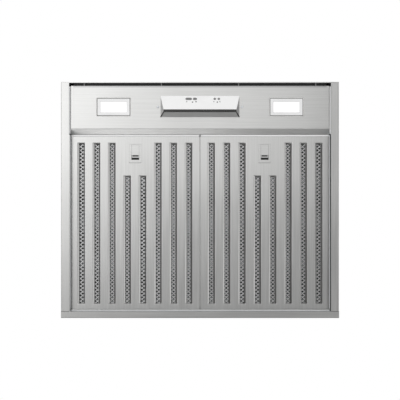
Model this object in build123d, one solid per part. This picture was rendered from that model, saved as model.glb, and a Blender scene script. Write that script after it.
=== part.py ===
from build123d import *
import math
import os

os.makedirs("parts", exist_ok=True)

# Range hood insert, as installed: +Z up, the front of the hood toward -Y, +X to the right of
# someone who stands in front of it. z = 0 is the plane in which the trim rails meet the cabinet,
# and the origin is the centre of the cabinet cut-out in that plane. All sizes in millimetres.

# ---------------------------------------------------------------- canopy and trim rails
outer_width = 721.0
outer_depth = 612.0
sheet = 1.0
bend_radius = 1.6
side_rail_face = 21.0
back_rail_face = 17.2
rail_drop = 8.0
rail_leg_height = 20.0
canopy_height = 115.0
wall_top_flange = 14.0
front_hem = 2.3
front_hem_height = 9.0
wall_screw_radius = 2.5
wall_screw_spacing_y = 380.0
wall_screw_spacing_z = 45.0
wall_screw_centre_z = 62.0
rivet_radius = 2.4
rivet_head = 1.0
rivet_pitch = 130.0
rivet_height = 12.2
corner_gap = 0.5

# ---------------------------------------------------------------- control panel
panel_front_gap = 7.9
panel_depth = 111.1
panel_front_turn = 17.0
panel_rear_rise = 13.7
panel_rear_upright = 18.0
panel_side_gap = 3.0
panel_wing_slope = 4.8
panel_wing_lip = 3.5
panel_wing_rise = 4.5
panel_wing_radius = 1.2
panel_opening_margin = 0.6
tab_count = 4
tab_end_margin = 28.2
tab_width = 2.4
tab_height = 4.5
tab_seat = 0.5
gasket_height = 7.0
gasket_clearance = 0.1

# ---------------------------------------------------------------- lamps
lamp_end_margin = 104.2
lamp_setback = 54.8
bezel_length = 87.0
bezel_width = 46.5
bezel_gap = 1.2
bezel_proud = 0.5
bezel_height = 4.0
bezel_corner = 2.5
bezel_edge = 0.4
lens_show_length = 66.0
lens_show_width = 26.0
lens_seat = 2.0
lens_thickness = 2.0
lens_recess = 1.0
lens_bevel = 2.0
lens_ledge = 0.6
lens_fit = 0.15
lens_nose = 0.4
lamp_body_wall = 1.2
lamp_body_height = 23.0
lamp_flange = 4.5
lamp_fit = 0.3
led_board_thickness = 1.6
led_board_end_margin = 4.0
led_board_side_margin = 6.0
led_count = 5
led_pitch = 14.6
led_size = 5.0
led_height = 0.9

# ---------------------------------------------------------------- control housing
housing_setback = 26.1
housing_depth = 55.0
housing_half_width = 102.0
ridge_end_run = 9.0
ridge_front_run = 37.1
ridge_width = 7.0
ridge_drop = 20.0
housing_wall = 1.6
fascia_thickness = 1.4
strip_thickness = 1.2
strip_setback = 0.6
key_row_run = 8.5
key_width = 7.2
fan_key_length = 17.1
fan_key_x = -29.25
timer_key_length = 10.9
timer_key_x = -12.95
light_key_high_x = 38.1
light_key_low_x = 48.7
light_key_diameter = 6.6
key_clearance = 0.25
key_proud = 1.1
key_travel = 0.8
key_flange = 0.9
key_end_flange = 0.4
key_flange_thickness = 1.0
key_stem_radius = 1.6
key_edge_radius = 0.5
key_seat_gap = 0.1
board_depth = 8.0
board_thickness = 1.6
board_end_margin = 21.0
board_slope_length = 38.0
board_shift = 1.0
board_post_radius = 2.2
board_post_margin = 5.0
board_post_shift = 2.0
chip_x = 10.0
chip_shift = 8.0
chip_length = 14.0
chip_width = 10.0
chip_height = 2.2
switch_size = 4.6
switch_gap = 0.15
box_wall = 1.5
box_end_margin = 9.0
box_margin = 7.0
box_height = 27.0
box_corner = 3.0
box_boss_radius = 4.5
panel_screw_gap = 7.0
panel_screw_head_radius = 2.75
panel_screw_head_height = 1.6
panel_screw_dome = 1.1
panel_screw_shank_radius = 1.9
panel_screw_clearance = 0.2
panel_screw_length = 12.0
panel_screw_bore_depth = 14.0
cross_slot_length = 3.4
cross_slot_width = 0.7
cross_slot_depth = 0.7
power_board_length = 150.0
power_board_width = 48.0
power_board_shift = -15.0
transformer_length = 30.0
transformer_width = 28.0
power_part_margin = 6.0
power_part_height = 9.0
relay_count = 2
relay_length = 16.0
relay_width = 14.0
relay_pitch = 22.0

# ---------------------------------------------------------------- grease filters
filter_sheet = 0.8
filter_recess = 15.0
filter_height = 13.2
filter_front_gap = 4.7
filter_middle_gap = 2.4
filter_wall_gap = 2.3
bead_radius = 3.0
bead_leg_gap = 0.6
bead_seat_gap = 0.3
hook_lip_start = 1.3
hook_rail_height = 30.0
hook_rail_radius = 0.7
slot_count = 8
slot_width = 19.6
slot_lip_run = 4.2
slot_side_margin = 18.2
slot_front_margin = 18.2
slot_rear_margin = 16.7
slot_latch_gap = 34.3
mesh_thickness = 3.0
back_slot_width = 24.0
back_slot_margin = 22.0
back_slot_corner = 4.0

# ---------------------------------------------------------------- filter latches
latch_plate_length = 48.6
latch_plate_width = 31.0
latch_plate_setback = 20.2
latch_plate_corner = 1.5
latch_fit = 0.2
latch_wall = 1.2
latch_floor = 0.9
latch_window_width = 20.2
latch_window_setback = 1.4
latch_window_length = 39.7
latch_running_gap = 0.4
handle_length = 27.1
handle_thickness = 1.8
handle_web_thickness = 1.2
handle_web_reach = 6.0
handle_web_drop = 1.5
finger_gap = 3.5
grip_rib_inset = 0.6
grip_rib_thickness = 2.6
tongue_width = 14.0
tongue_thickness = 1.4
tongue_height = 5.0
tongue_neck = 8.0
keeper_gap = 0.3
keeper_window_margin = 2.0

# ---------------------------------------------------------------- latch rail
latch_rail_height = 32.0
latch_rail_flange = 16.0
latch_rail_gap = 0.3

# ---------------------------------------------------------------- blower
blower_axis_y = -30.0
scroll_floor_gap = 10.94
scroll_width = 150.0
scroll_expansion = 52.0
scroll_neck_height = 90.0
cutoff_gap = 8.0
tongue_angle = 40.0
scroll_step = 20.0
side_flange = 6.0
inlet_gap = 2.0
bellmouth = 7.0
impeller_radius = 80.0
impeller_side_gap = 10.0
blade_depth = 12.0
blade_count = 32
blade_thickness = 0.9
blade_lead = 9.0
end_ring_width = 2.5
end_ring_setback = 2.0
rim_overhang = 0.8
hub_radius = 14.0
hub_length = 24.0
hub_disc = 1.5
shaft_radius = 6.0
shaft_clearance = 0.05
hub_clearance = 0.02
motor_radius = 42.0
motor_end_radius = 30.0
motor_length = 76.0
motor_nose_reach = 5.0
motor_chamfer = 7.0
motor_rib = 3.0
motor_rib_height = 1.2
shaft_depth = 20.0
shaft_end_reach = 2.0
shaft_chamfer = 0.6
bracket_band_shift = 14.0
bracket_band_width = 16.0
bracket_thickness = 2.0
bracket_arm_width = 16.0
bracket_arm_rise = 12.0
bracket_foot_length = 13.0
bracket_radius = 3.0
bracket_arm_angles = (30.0, 150.0, 270.0)
capacitor_radius = 17.5
capacitor_length = 52.0
capacitor_edge = 1.5
capacitor_front_gap = 27.5
capacitor_drop = 40.0
terminal_spacing = 12.0
terminal_length = 8.0
terminal_width = 6.0
terminal_thickness = 0.8

# ---------------------------------------------------------------- blower chamber and duct
chamber_half_width = 170.0
chamber_front_gap = 14.2
chamber_rear_margin = 9.3
chamber_flange = 15.0
chamber_corner = 2.0
lid_skirt = 14.0
lid_edge = 0.8
transition_height = 39.0
transition_flange = 12.0
collar_radius = 75.0
collar_wall = 1.0
collar_height = 45.0
collar_flange = 14.0
damper_height = 26.0
damper_rod_radius = 2.0
damper_rod_clearance = 0.05
damper_rod_spread = 8.0
damper_rod_end = 0.1
knuckle_wall = 0.95
knuckle_width = 18.0
knuckle_pitch = 80.0
flap_thickness = 0.8
flap_edge_gap = 1.2
flap_middle_gap = 9.0
flap_overlap = 2.0
flap_stop_width = 3.5
flap_stop_thickness = 1.0
flap_seat_gap = 0.3

# ---------------------------------------------------------------- junction box
junction_side_gap = 25.5
junction_rear_gap = 20.0
junction_length = 100.0
junction_width = 76.0
junction_height = 44.0
junction_wall = 1.2
junction_corner = 2.0
junction_cover_skirt = 8.0
knockout_radius = 11.0
knockout_pitch = 44.0
knockout_groove = 0.8
knockout_depth = 0.4
screw_head_radius = 3.6
screw_head_height = 1.8
screw_slot_length = 4.0
screw_slot_width = 0.8
screw_slot_depth = 0.7
screw_end_margin = 20.0
cover_screw_margin = 12.0
collar_screw_count = 4

# ---------------------------------------------------------------- places that follow
half_width = outer_width / 2
half_depth = outer_depth / 2
front_y = -half_depth
wall_inner_x = half_width - side_rail_face
wall_outer_x = wall_inner_x + sheet
back_inner_y = half_depth - back_rail_face
back_outer_y = back_inner_y + sheet
rail_bottom_z = -rail_drop
web_top_z = rail_bottom_z + sheet
roof_bottom_z = canopy_height
roof_top_z = canopy_height + sheet

panel_front_y = front_y + front_hem + panel_front_gap
panel_rear_y = panel_front_y + panel_depth
panel_bottom_z = rail_bottom_z
panel_top_z = panel_bottom_z + sheet
upright_y = panel_rear_y + panel_rear_rise
upright_top_z = panel_bottom_z + panel_rear_rise + panel_rear_upright
panel_half_width = wall_inner_x - panel_side_gap
panel_flat_half_width = panel_half_width - panel_wing_lip - panel_wing_slope
tab_pitch = 2 * (panel_flat_half_width - tab_end_margin) / (tab_count - 1)

lamp_x = panel_flat_half_width - lamp_end_margin
lamp_y = panel_front_y + lamp_setback
housing_front_y = panel_front_y + housing_setback
housing_rear_y = housing_front_y + housing_depth
ridge_front_y = housing_front_y + ridge_front_run
ridge_rear_y = ridge_front_y + ridge_width
ridge_half_width = housing_half_width - ridge_end_run
face_middle_y = (housing_front_y + ridge_front_y) / 2
key_row_y = housing_front_y + key_row_run
board_half_width = ridge_half_width - board_end_margin
panel_screw_x = housing_half_width + panel_screw_gap
panel_screw_y = lamp_y
box_half_width = panel_screw_x + box_end_margin

face_z = rail_bottom_z + filter_recess
filter_top_z = face_z + filter_height
back_sheet_z = filter_top_z - filter_sheet
mesh_bottom_z = back_sheet_z - mesh_thickness
filter_front_y = upright_y + filter_front_gap
filter_pivot_y = back_inner_y - sheet - bead_leg_gap - bead_radius
filter_inner_x = filter_middle_gap / 2
filter_outer_x = wall_inner_x - filter_wall_gap
filter_centre_x = (filter_inner_x + filter_outer_x) / 2
filter_pivot_z = face_z + bead_radius
slot_pitch = (filter_outer_x - filter_inner_x - 2 * slot_side_margin - slot_width) / (slot_count - 1)
latch_plate_front_y = filter_front_y + latch_plate_setback
latch_plate_rear_y = latch_plate_front_y + latch_plate_length
latch_window_front_y = latch_plate_front_y + latch_window_setback
latch_window_rear_y = latch_window_front_y + latch_window_length
handle_front_y = latch_window_front_y + latch_running_gap
handle_rear_y = handle_front_y + handle_length
slot_front_y = filter_front_y + slot_front_margin
slot_short_front_y = latch_plate_rear_y + slot_latch_gap
slot_rear_y = filter_pivot_y - slot_rear_margin

cutoff_radius = impeller_radius + cutoff_gap
scroll_end_radius = cutoff_radius + scroll_expansion
scroll_growth = math.log(scroll_end_radius / cutoff_radius) / (360.0 - tongue_angle)
scroll_front_radius = cutoff_radius * math.exp(scroll_growth * (180.0 - tongue_angle))
scroll_low_radius = cutoff_radius * math.exp(scroll_growth * (270.0 - tongue_angle))
blower_axis_z = filter_top_z + scroll_floor_gap + side_flange + scroll_low_radius
scroll_top_z = blower_axis_z + scroll_neck_height
half_scroll = scroll_width / 2
inlet_radius = impeller_radius - blade_depth - inlet_gap
half_wheel = half_scroll - impeller_side_gap
motor_end_x = motor_nose_reach - half_wheel
motor_start_x = motor_end_x - motor_length

outlet_front_y = blower_axis_y + cutoff_radius * math.cos(math.radians(tongue_angle))
outlet_rear_y = blower_axis_y + scroll_end_radius
collar_y = (outlet_front_y + outlet_rear_y) / 2
transition_top_z = scroll_top_z + transition_height
chamber_top_z = transition_top_z + sheet
chamber_front_y = blower_axis_y - scroll_front_radius - side_flange - chamber_front_gap
chamber_rear_y = collar_y + collar_radius + collar_flange + chamber_rear_margin
chamber_middle_y = (chamber_front_y + chamber_rear_y) / 2
chamber_depth = chamber_rear_y - chamber_front_y
collar_base_z = chamber_top_z + sheet
collar_bore = collar_radius - collar_wall
damper_z = collar_base_z + damper_height
knuckle_radius = damper_rod_radius + damper_rod_clearance + knuckle_wall
flap_bottom_z = damper_z - knuckle_radius
flap_stop_z = flap_bottom_z - flap_seat_gap
capacitor_y = chamber_front_y + sheet + capacitor_front_gap + capacitor_radius
capacitor_z = chamber_top_z - capacitor_drop
junction_x = wall_outer_x - junction_side_gap - junction_length / 2
junction_y = back_outer_y - junction_rear_gap - junction_width / 2

face_tilt = math.degrees(math.atan2(ridge_drop, ridge_front_run))


# ---------------------------------------------------------------- general shapes
def block(x0, x1, y0, y1, z0, z1):
    """A plain block between two corners."""
    size = Box(abs(x1 - x0), abs(y1 - y0), abs(z1 - z0))
    return Pos((x0 + x1) / 2, (y0 + y1) / 2, (z0 + z1) / 2) * size


def along_x(profile, x0, x1):
    """Extrude a profile drawn in (y, z) from x0 to x1."""
    return extrude(Plane.YZ.offset(x0) * profile, x1 - x0)


def along_y(profile, y0, y1):
    """Extrude a profile drawn in (x, z) from y0 to y1."""
    return extrude(Plane.XZ.offset(-y1) * profile, y1 - y0)


def along_z(profile, z0, z1):
    """Extrude a profile drawn in (x, y) from z0 to z1."""
    return extrude(Plane.XY.offset(z0) * profile, z1 - z0)


def folded(points, thickness=sheet, radius=bend_radius):
    """The section of a folded sheet: its middle line, with round bends, given a thickness."""
    return trace(FilletPolyline(*points, radius=radius), thickness)


def rod_x(radius, x0, x1, y, z):
    """A round bar along X."""
    return along_x(Pos(y, z) * Circle(radius), x0, x1)


def rod_z(radius, x, y, z0, z1):
    """A round bar along Z."""
    return along_z(Pos(x, y) * Circle(radius), z0, z1)


def row(middle, pitch, count):
    """Places of a row of copies, spread evenly about its middle."""
    return [middle + (i - (count - 1) / 2) * pitch for i in range(count)]


def mirrored(shape):
    """The same piece on the other side of the hood's middle plane."""
    return mirror(shape, about=Plane.YZ)


def save(shape, name):
    """Write one node."""
    solids = shape.solids()
    kept = solids[0] if len(solids) == 1 else Compound(children=solids)
    export_step(kept, os.path.join("parts", name + ".step"))


# ---------------------------------------------------------------- canopy
def side_wall():
    """Right side wall: a sheet that stands on the rail and turns inward at the top."""
    middle = wall_inner_x + sheet / 2
    top = roof_bottom_z - sheet / 2
    section = folded([(middle, web_top_z), (middle, top), (wall_inner_x - wall_top_flange, top)])
    wall = along_y(section, front_y, back_inner_y)
    wall -= block(0, wall_inner_x, front_y, front_y + sheet, 0, roof_bottom_z)
    for y in (-wall_screw_spacing_y / 2, wall_screw_spacing_y / 2):
        for dz in (-wall_screw_spacing_z / 2, wall_screw_spacing_z / 2):
            wall -= rod_x(wall_screw_radius, wall_inner_x - 1, wall_outer_x + 1, y, wall_screw_centre_z + dz)
    return wall


def front_wall():
    """Front wall between the side walls: hemmed below, turned inward above."""
    middle = front_y + sheet / 2
    top = roof_bottom_z - sheet / 2
    section = folded([(middle, rail_bottom_z), (middle, top), (front_y + wall_top_flange, top)])
    hem = Pos(front_y + front_hem / 2, rail_bottom_z + front_hem_height / 2) * Rectangle(
        front_hem, front_hem_height)
    flange_end = wall_inner_x - wall_top_flange - corner_gap
    wall = along_x(section + hem, -wall_inner_x, wall_inner_x)
    for side in (-1, 1):
        wall -= block(side * flange_end, side * wall_inner_x, front_y + sheet,
                      front_y + wall_top_flange + 1, roof_bottom_z - wall_top_flange, roof_bottom_z)
    return wall


def back_wall():
    """Back wall behind the side walls, standing on the back rail."""
    middle = back_inner_y + sheet / 2
    top = roof_bottom_z - sheet / 2
    section = folded([(middle, web_top_z), (middle, top), (back_inner_y - wall_top_flange, top)])
    wall = along_x(section, -wall_outer_x, wall_outer_x)
    flange_end = wall_inner_x - wall_top_flange - corner_gap
    for side in (-1, 1):
        wall -= block(side * flange_end, side * wall_outer_x, back_inner_y - wall_top_flange - 1,
                      back_inner_y, roof_bottom_z - wall_top_flange, roof_bottom_z)
    return wall


def roof_panel():
    """Flat roof sheet with the opening that the blower hangs through."""
    roof = block(-wall_outer_x, wall_outer_x, front_y, back_outer_y, roof_bottom_z, roof_top_z)
    inner = chamber_half_width - sheet
    return roof - block(-inner, inner, chamber_front_y + sheet, chamber_rear_y - sheet,
                        roof_bottom_z - 1, roof_top_z + 1)


def flange_side():
    """Right trim rail: outer lip up to the cabinet, flat face, inner leg outside the wall."""
    middle_z = rail_bottom_z + sheet / 2
    leg_x = wall_outer_x + sheet / 2
    lip_x = half_width - sheet / 2
    section = folded([(leg_x, rail_leg_height), (leg_x, middle_z), (lip_x, middle_z), (lip_x, 0)])
    ledge = Pos((wall_inner_x + leg_x + bend_radius) / 2, middle_z) * Rectangle(
        leg_x + bend_radius - wall_inner_x, sheet)
    rail = along_y(section + ledge, front_y, back_inner_y)
    end_plate = block(wall_outer_x + sheet, half_width - sheet, front_y, front_y + sheet, web_top_z, 0)
    return rail + end_plate


def flange_back():
    """Back trim rail over the full width, closed at both ends."""
    middle_z = rail_bottom_z + sheet / 2
    leg_y = back_outer_y + sheet / 2
    lip_y = half_depth - sheet / 2
    section = folded([(leg_y, rail_leg_height), (leg_y, middle_z), (lip_y, middle_z), (lip_y, 0)])
    ledge = Pos((back_inner_y + leg_y + bend_radius) / 2, middle_z) * Rectangle(
        leg_y + bend_radius - back_inner_y, sheet)
    rail = along_x(section + ledge, -half_width, half_width)
    for side in (-1, 1):
        rail -= block(side * wall_outer_x, side * half_width,
                      back_outer_y, back_outer_y + sheet + bend_radius, 0, rail_leg_height)
        rail += block(side * (half_width - sheet), side * half_width, back_inner_y, half_depth - sheet,
                      web_top_z, 0)
    return rail


def wall_rivets():
    """Rivet heads on the outside of the rails' legs, along both side walls and the back wall."""
    z = rivet_height
    group = []
    for y in row((front_y + back_inner_y) / 2, rivet_pitch, int((back_inner_y - front_y) // rivet_pitch)):
        for side in (-1, 1):
            outer = wall_outer_x + sheet
            group.append(rod_x(rivet_radius, side * outer, side * (outer + rivet_head), y, z))
    for x in row(0, rivet_pitch, int(2 * wall_inner_x // rivet_pitch)):
        outer = back_outer_y + sheet
        group.append(along_y(Pos(x, z) * Circle(rivet_radius), outer, outer + rivet_head))
    return Compound(children=group)


def filter_rail_back():
    """Hook rail on the back wall; its lip carries the rolled rear edge of each filter."""
    leg_y = back_inner_y - sheet / 2
    lip_z = face_z - bead_seat_gap - sheet / 2
    section = folded([(filter_pivot_y + hook_lip_start, lip_z), (leg_y, lip_z),
                      (leg_y, lip_z + hook_rail_height)], radius=hook_rail_radius)
    return along_x(section, -wall_inner_x, wall_inner_x)


def keeper_window(side):
    """The window that faces one latch tongue, as a cutter through panel upright and latch rail."""
    x = side * filter_centre_x
    half = tongue_width / 2 + keeper_window_margin
    low = face_z + tongue_height - keeper_window_margin
    high = face_z + tongue_height + tongue_thickness + keeper_window_margin
    return block(x - half, x + half, upright_y - 3 * sheet, upright_y + 1, low, high)


def latch_rail():
    """Cross member in front of the filters, against the panel's upright."""
    leg_y = upright_y - 1.5 * sheet
    low = panel_bottom_z + panel_rear_rise + bend_radius + latch_rail_gap
    top = low + latch_rail_height
    section = folded([(leg_y, low), (leg_y, top), (leg_y - latch_rail_flange, top)])
    rail = along_x(section, -wall_inner_x, wall_inner_x)
    return rail - keeper_window(-1) - keeper_window(1)


# ---------------------------------------------------------------- control panel
def lamp_opening(side):
    """Cutter for one lamp opening in the panel."""
    hole = RectangleRounded(bezel_length + 2 * bezel_gap, bezel_width + 2 * bezel_gap,
                            bezel_corner + bezel_gap)
    return along_z(Pos(side * lamp_x, lamp_y) * hole, panel_bottom_z - 1, panel_top_z + 1)


def control_panel():
    """Folded panel: front turned up, rear edge sloped up to the filters, side edges set back."""
    z = panel_bottom_z + sheet / 2
    rise = panel_rear_rise
    upright = upright_y - sheet / 2
    section = folded([(panel_front_y + sheet / 2, z + panel_front_turn), (panel_front_y + sheet / 2, z),
                      (panel_rear_y, z), (upright, z + rise), (upright, upright_top_z)])
    panel = along_x(section, -panel_flat_half_width, panel_flat_half_width)
    slope_end = panel_flat_half_width + panel_wing_slope
    lip_z = z + panel_wing_rise
    wing = folded([(panel_flat_half_width - 2 * sheet, z), (panel_flat_half_width, z), (slope_end, lip_z),
                   (panel_half_width, lip_z)], radius=panel_wing_radius)
    wing = along_y(wing, panel_front_y, panel_rear_y)
    panel += wing + mirrored(wing)
    cheek_profile = folded([(panel_rear_y, z), (upright, z + rise), (upright, upright_top_z)])
    for side in (-1, 1):
        panel += along_x(cheek_profile, side * (panel_flat_half_width - sheet), side * panel_half_width)
        panel -= lamp_opening(side)
        panel -= keeper_window(side)
        panel -= rod_z(panel_screw_shank_radius + panel_screw_clearance, side * panel_screw_x, panel_screw_y,
                       panel_bottom_z - 1, panel_top_z + 1)
    for x in row(0, tab_pitch, tab_count):
        panel += block(x - tab_width / 2, x + tab_width / 2, front_y + front_hem, panel_front_y + sheet / 2,
                       panel_bottom_z + tab_seat, panel_bottom_z + tab_height)
    inset = housing_wall + panel_opening_margin
    panel -= block(-housing_half_width + inset, housing_half_width - inset, housing_front_y + inset,
                   housing_rear_y - inset, panel_bottom_z - 1, panel_top_z + 1)
    return panel


def panel_gasket():
    """Black foam seal in the gap between the front wall and the panel."""
    low = panel_bottom_z + tab_height + gasket_clearance
    return block(-panel_flat_half_width, panel_flat_half_width, front_y + front_hem, panel_front_y,
                 low, low + gasket_height)


def panel_screws():
    """Two pan-head screws beside the control housing."""
    group = []
    for side in (-1, 1):
        x = side * panel_screw_x
        low = panel_bottom_z - panel_screw_head_height
        head = rod_z(panel_screw_head_radius, x, panel_screw_y, low, panel_bottom_z)
        head = fillet(head.faces().sort_by(Axis.Z)[0].edges(), panel_screw_dome)
        shank = rod_z(panel_screw_shank_radius, x, panel_screw_y, panel_bottom_z,
                      panel_bottom_z + panel_screw_length)
        arm = Rectangle(cross_slot_length, cross_slot_width)
        cross = arm + Rot(Z=90) * arm
        group.append(head + shank - along_z(Pos(x, panel_screw_y) * cross, low - 1, low + cross_slot_depth))
    return Compound(children=group)


# ---------------------------------------------------------------- lamps
def lamp_bezel():
    """Right lamp's frame, with a chamfered opening and a ledge for the lens."""
    low = panel_bottom_z - bezel_proud
    frame = along_z(RectangleRounded(bezel_length, bezel_width, bezel_corner), low, low + bezel_height)
    frame = chamfer(frame.faces().sort_by(Axis.Z)[0].edges(), bezel_edge)
    show = Rectangle(lens_show_length, lens_show_width)
    bevel = Rectangle(lens_show_length + 2 * lens_bevel, lens_show_width + 2 * lens_bevel)
    frame -= loft([Plane.XY.offset(low) * bevel, Plane.XY.offset(low + lens_recess) * show])
    frame -= along_z(show, low, low + bezel_height + 1)
    frame -= along_z(Rectangle(lens_show_length + 2 * lens_seat, lens_show_width + 2 * lens_seat),
                     low + lens_recess + lens_ledge, low + bezel_height + 1)
    return Pos(lamp_x, lamp_y) * frame


def lamp_lens():
    """Right lamp's diffuser, lying in the bezel's ledge and standing into its opening."""
    low = panel_bottom_z - bezel_proud
    plate_z = low + lens_recess + lens_ledge
    reach = lens_seat - lens_fit
    plate = along_z(Rectangle(lens_show_length + 2 * reach, lens_show_width + 2 * reach),
                    plate_z, plate_z + lens_thickness)
    nose = along_z(Rectangle(lens_show_length - 2 * lens_fit, lens_show_width - 2 * lens_fit),
                   plate_z - lens_nose, plate_z)
    return Pos(lamp_x, lamp_y) * (plate + nose)


def lamp_inner_size():
    """Inside length and width of the lamp body around the bezel."""
    return bezel_length + 2 * lamp_fit, bezel_width + 2 * lamp_fit


def lamp_body():
    """Right lamp's tray above the panel, with a flange that lies on the panel."""
    length, width = lamp_inner_size()
    low = panel_top_z
    outer = along_z(RectangleRounded(length + 2 * lamp_body_wall, width + 2 * lamp_body_wall,
                                     bezel_corner + lamp_body_wall), low, low + lamp_body_height)
    flange = along_z(RectangleRounded(length + 2 * lamp_flange, width + 2 * lamp_flange, bezel_corner),
                     low, low + lamp_body_wall)
    hollow = along_z(RectangleRounded(length, width, bezel_corner), low - 1,
                     low + lamp_body_height - lamp_body_wall)
    return Pos(lamp_x, lamp_y) * (outer + flange - hollow)


def led_board():
    """Right lamp's board with a row of light emitters, against the tray's ceiling."""
    length, width = lamp_inner_size()
    top = panel_top_z + lamp_body_height - lamp_body_wall
    low = top - led_board_thickness
    board = along_z(Rectangle(length - 2 * led_board_end_margin, width - 2 * led_board_side_margin), low, top)
    for x in row(0, led_pitch, led_count):
        board += along_z(Pos(x, 0) * Rectangle(led_size, led_size), low - led_height, low)
    return Pos(lamp_x, lamp_y) * board


# ---------------------------------------------------------------- control housing
def wedge(inset=0.0):
    """The wedge under the panel: its base on the panel, its ridge below."""
    base = Plane.XY.offset(panel_bottom_z) * Pos(0, (housing_front_y + housing_rear_y) / 2) * Rectangle(
        2 * (housing_half_width - inset), housing_depth - 2 * inset)
    lean = inset * (math.hypot(ridge_front_run, ridge_drop) - ridge_front_run) / ridge_drop
    rear_run = housing_rear_y - ridge_rear_y
    rear_lean = inset * (math.hypot(rear_run, ridge_drop) - rear_run) / ridge_drop
    y0 = ridge_front_y + lean
    y1 = ridge_rear_y - rear_lean
    ridge = Plane.XY.offset(panel_bottom_z - ridge_drop + inset) * Pos(0, (y0 + y1) / 2) * Rectangle(
        2 * (ridge_half_width - inset), y1 - y0)
    return loft([base, ridge], ruled=True)


def face_frame(x=0.0, y=housing_front_y, depth=0.0):
    """A plane on the tilted face: local X along the hood, local Y down the slope, Z inward."""
    tilt = math.radians(face_tilt)
    z = panel_bottom_z - (y - housing_front_y) * math.tan(tilt)
    inward = Vector(0, math.sin(tilt), math.cos(tilt))
    origin = Vector(x, y, z) + inward * depth
    return Plane(origin=origin, x_dir=(1, 0, 0), z_dir=inward)


def face_slab(depth0, depth1):
    """A wide slab parallel to the tilted face, between two depths behind it."""
    frame = face_frame(y=face_middle_y, depth=depth0)
    return extrude(frame * Rectangle(3 * housing_half_width, 6 * ridge_drop), depth1 - depth0)


def key_profile(length, round_key):
    """Outline of a key in the plane of the face."""
    if round_key:
        return Circle(length / 2)
    return SlotOverall(length, key_width)


def keys():
    """Name, place along the hood, length and kind of each key."""
    return (("fan_speed_key", fan_key_x, fan_key_length, False),
            ("timer_key", timer_key_x, timer_key_length, False),
            ("light_key_high", light_key_high_x, light_key_diameter, True),
            ("light_key_low", light_key_low_x, light_key_diameter, True))


def ridge_band():
    """The space of the dark strip along the ridge."""
    low = panel_bottom_z - ridge_drop
    return block(-housing_half_width, housing_half_width, ridge_front_y + strip_setback, housing_rear_y,
                 low - 1, low + strip_thickness)


def control_fascia():
    """Tilted face plate with the key openings and posts for the board."""
    plate = wedge() & face_slab(-1, fascia_thickness)
    plate -= ridge_band()
    for _, x, length, round_key in keys():
        hole = key_profile(length, round_key)
        plate -= extrude(face_frame(x, key_row_y, -1) * hole, fascia_thickness + 2)
    for side in (-1, 1):
        x = side * (board_half_width - board_post_margin)
        post_frame = face_frame(x, face_middle_y + board_post_shift, fascia_thickness)
        plate += extrude(post_frame * Circle(board_post_radius), board_depth - fascia_thickness)
    return plate


def control_housing():
    """Wedge shell around the fascia: side cheeks, rear face and an inner front ledge."""
    shell = wedge() - wedge(housing_wall)
    shell -= face_slab(-1, fascia_thickness)
    shell -= ridge_band()
    return shell


def ridge_strip():
    """Dark strip along the ridge."""
    strip = wedge() & ridge_band()
    return strip - wedge(housing_wall)


def key_solid(x, length, round_key):
    """One key: cap, retaining flange behind the fascia and a stem to its switch."""
    cap_length = length - 2 * key_clearance
    cap = key_profile(cap_length, True)
    flange = Circle(length / 2 + key_flange)
    if not round_key:
        cap = SlotOverall(cap_length, key_width - 2 * key_clearance)
        flange = SlotOverall(length + 2 * key_end_flange, key_width + 2 * key_flange)
    seat = fascia_thickness + key_seat_gap
    solid = extrude(face_frame(x, key_row_y, -key_proud) * cap, key_proud + seat)
    solid += extrude(face_frame(x, key_row_y, seat) * flange, key_flange_thickness)
    stem_start = seat + key_flange_thickness
    stem_end = board_depth - switch_size / 2 - key_travel - switch_gap
    solid += extrude(face_frame(x, key_row_y, stem_start) * Circle(key_stem_radius), stem_end - stem_start)
    outer = solid.faces().sort_by(Axis((0, 0, 0), tuple(face_frame().z_dir)))[0]
    return fillet(outer.edges(), key_edge_radius)


def control_board():
    """Circuit board behind the fascia, with one switch under each key."""
    frame = face_frame(0, face_middle_y + board_shift, board_depth)
    board = extrude(frame * Rectangle(2 * board_half_width, board_slope_length), board_thickness)
    for _, x, _, _ in keys():
        at = face_frame(x, key_row_y, board_depth - switch_size / 2)
        board += extrude(at * Rectangle(switch_size, switch_size), switch_size / 2)
    chip = face_frame(chip_x, face_middle_y + chip_shift, board_depth + board_thickness)
    return board + extrude(chip * Rectangle(chip_length, chip_width), chip_height)


def control_box():
    """Enclosure above the panel over the board, with bosses for the two panel screws."""
    y0 = housing_front_y - box_margin
    y1 = housing_rear_y + box_margin
    low = panel_top_z
    shell = block(-box_half_width, box_half_width, y0, y1, low, low + box_height)
    shell = fillet(shell.edges().filter_by(Axis.Z), box_corner)
    shell -= block(-box_half_width + box_wall, box_half_width - box_wall, y0 + box_wall, y1 - box_wall,
                   low - 1, low + box_height - box_wall)
    for side in (-1, 1):
        x = side * panel_screw_x
        boss = rod_z(box_boss_radius, x, panel_screw_y, low, low + box_height - box_wall)
        boss -= rod_z(panel_screw_shank_radius, x, panel_screw_y, low - 1,
                      panel_bottom_z + panel_screw_bore_depth)
        shell += boss
    return shell


def power_board():
    """Supply board under the enclosure's ceiling, with its transformer and two relays."""
    top = panel_top_z + box_height - box_wall
    face = top - board_thickness
    low = face - power_part_height
    y = (housing_front_y + housing_rear_y) / 2
    start = power_board_shift - power_board_length / 2
    board = along_z(Pos(power_board_shift, y) * Rectangle(power_board_length, power_board_width), face, top)
    transformer = Pos(start + power_part_margin + transformer_length / 2, y) * Rectangle(
        transformer_length, transformer_width)
    board += along_z(transformer, low, face)
    relay_y = y + power_board_width / 2 - power_part_margin - relay_width / 2
    for x in row(power_board_shift, relay_pitch, relay_count):
        board += along_z(Pos(x, relay_y) * Rectangle(relay_length, relay_width), low, face)
    return board


# ---------------------------------------------------------------- grease filters
def slot_places():
    """Distance of each slot's middle from the filter's middle, and where it starts."""
    beside_latch = (latch_plate_width + slot_width) / 2
    return [(offset, slot_short_front_y if abs(offset) < beside_latch else slot_front_y)
            for offset in row(0, slot_pitch, slot_count)]


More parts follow.
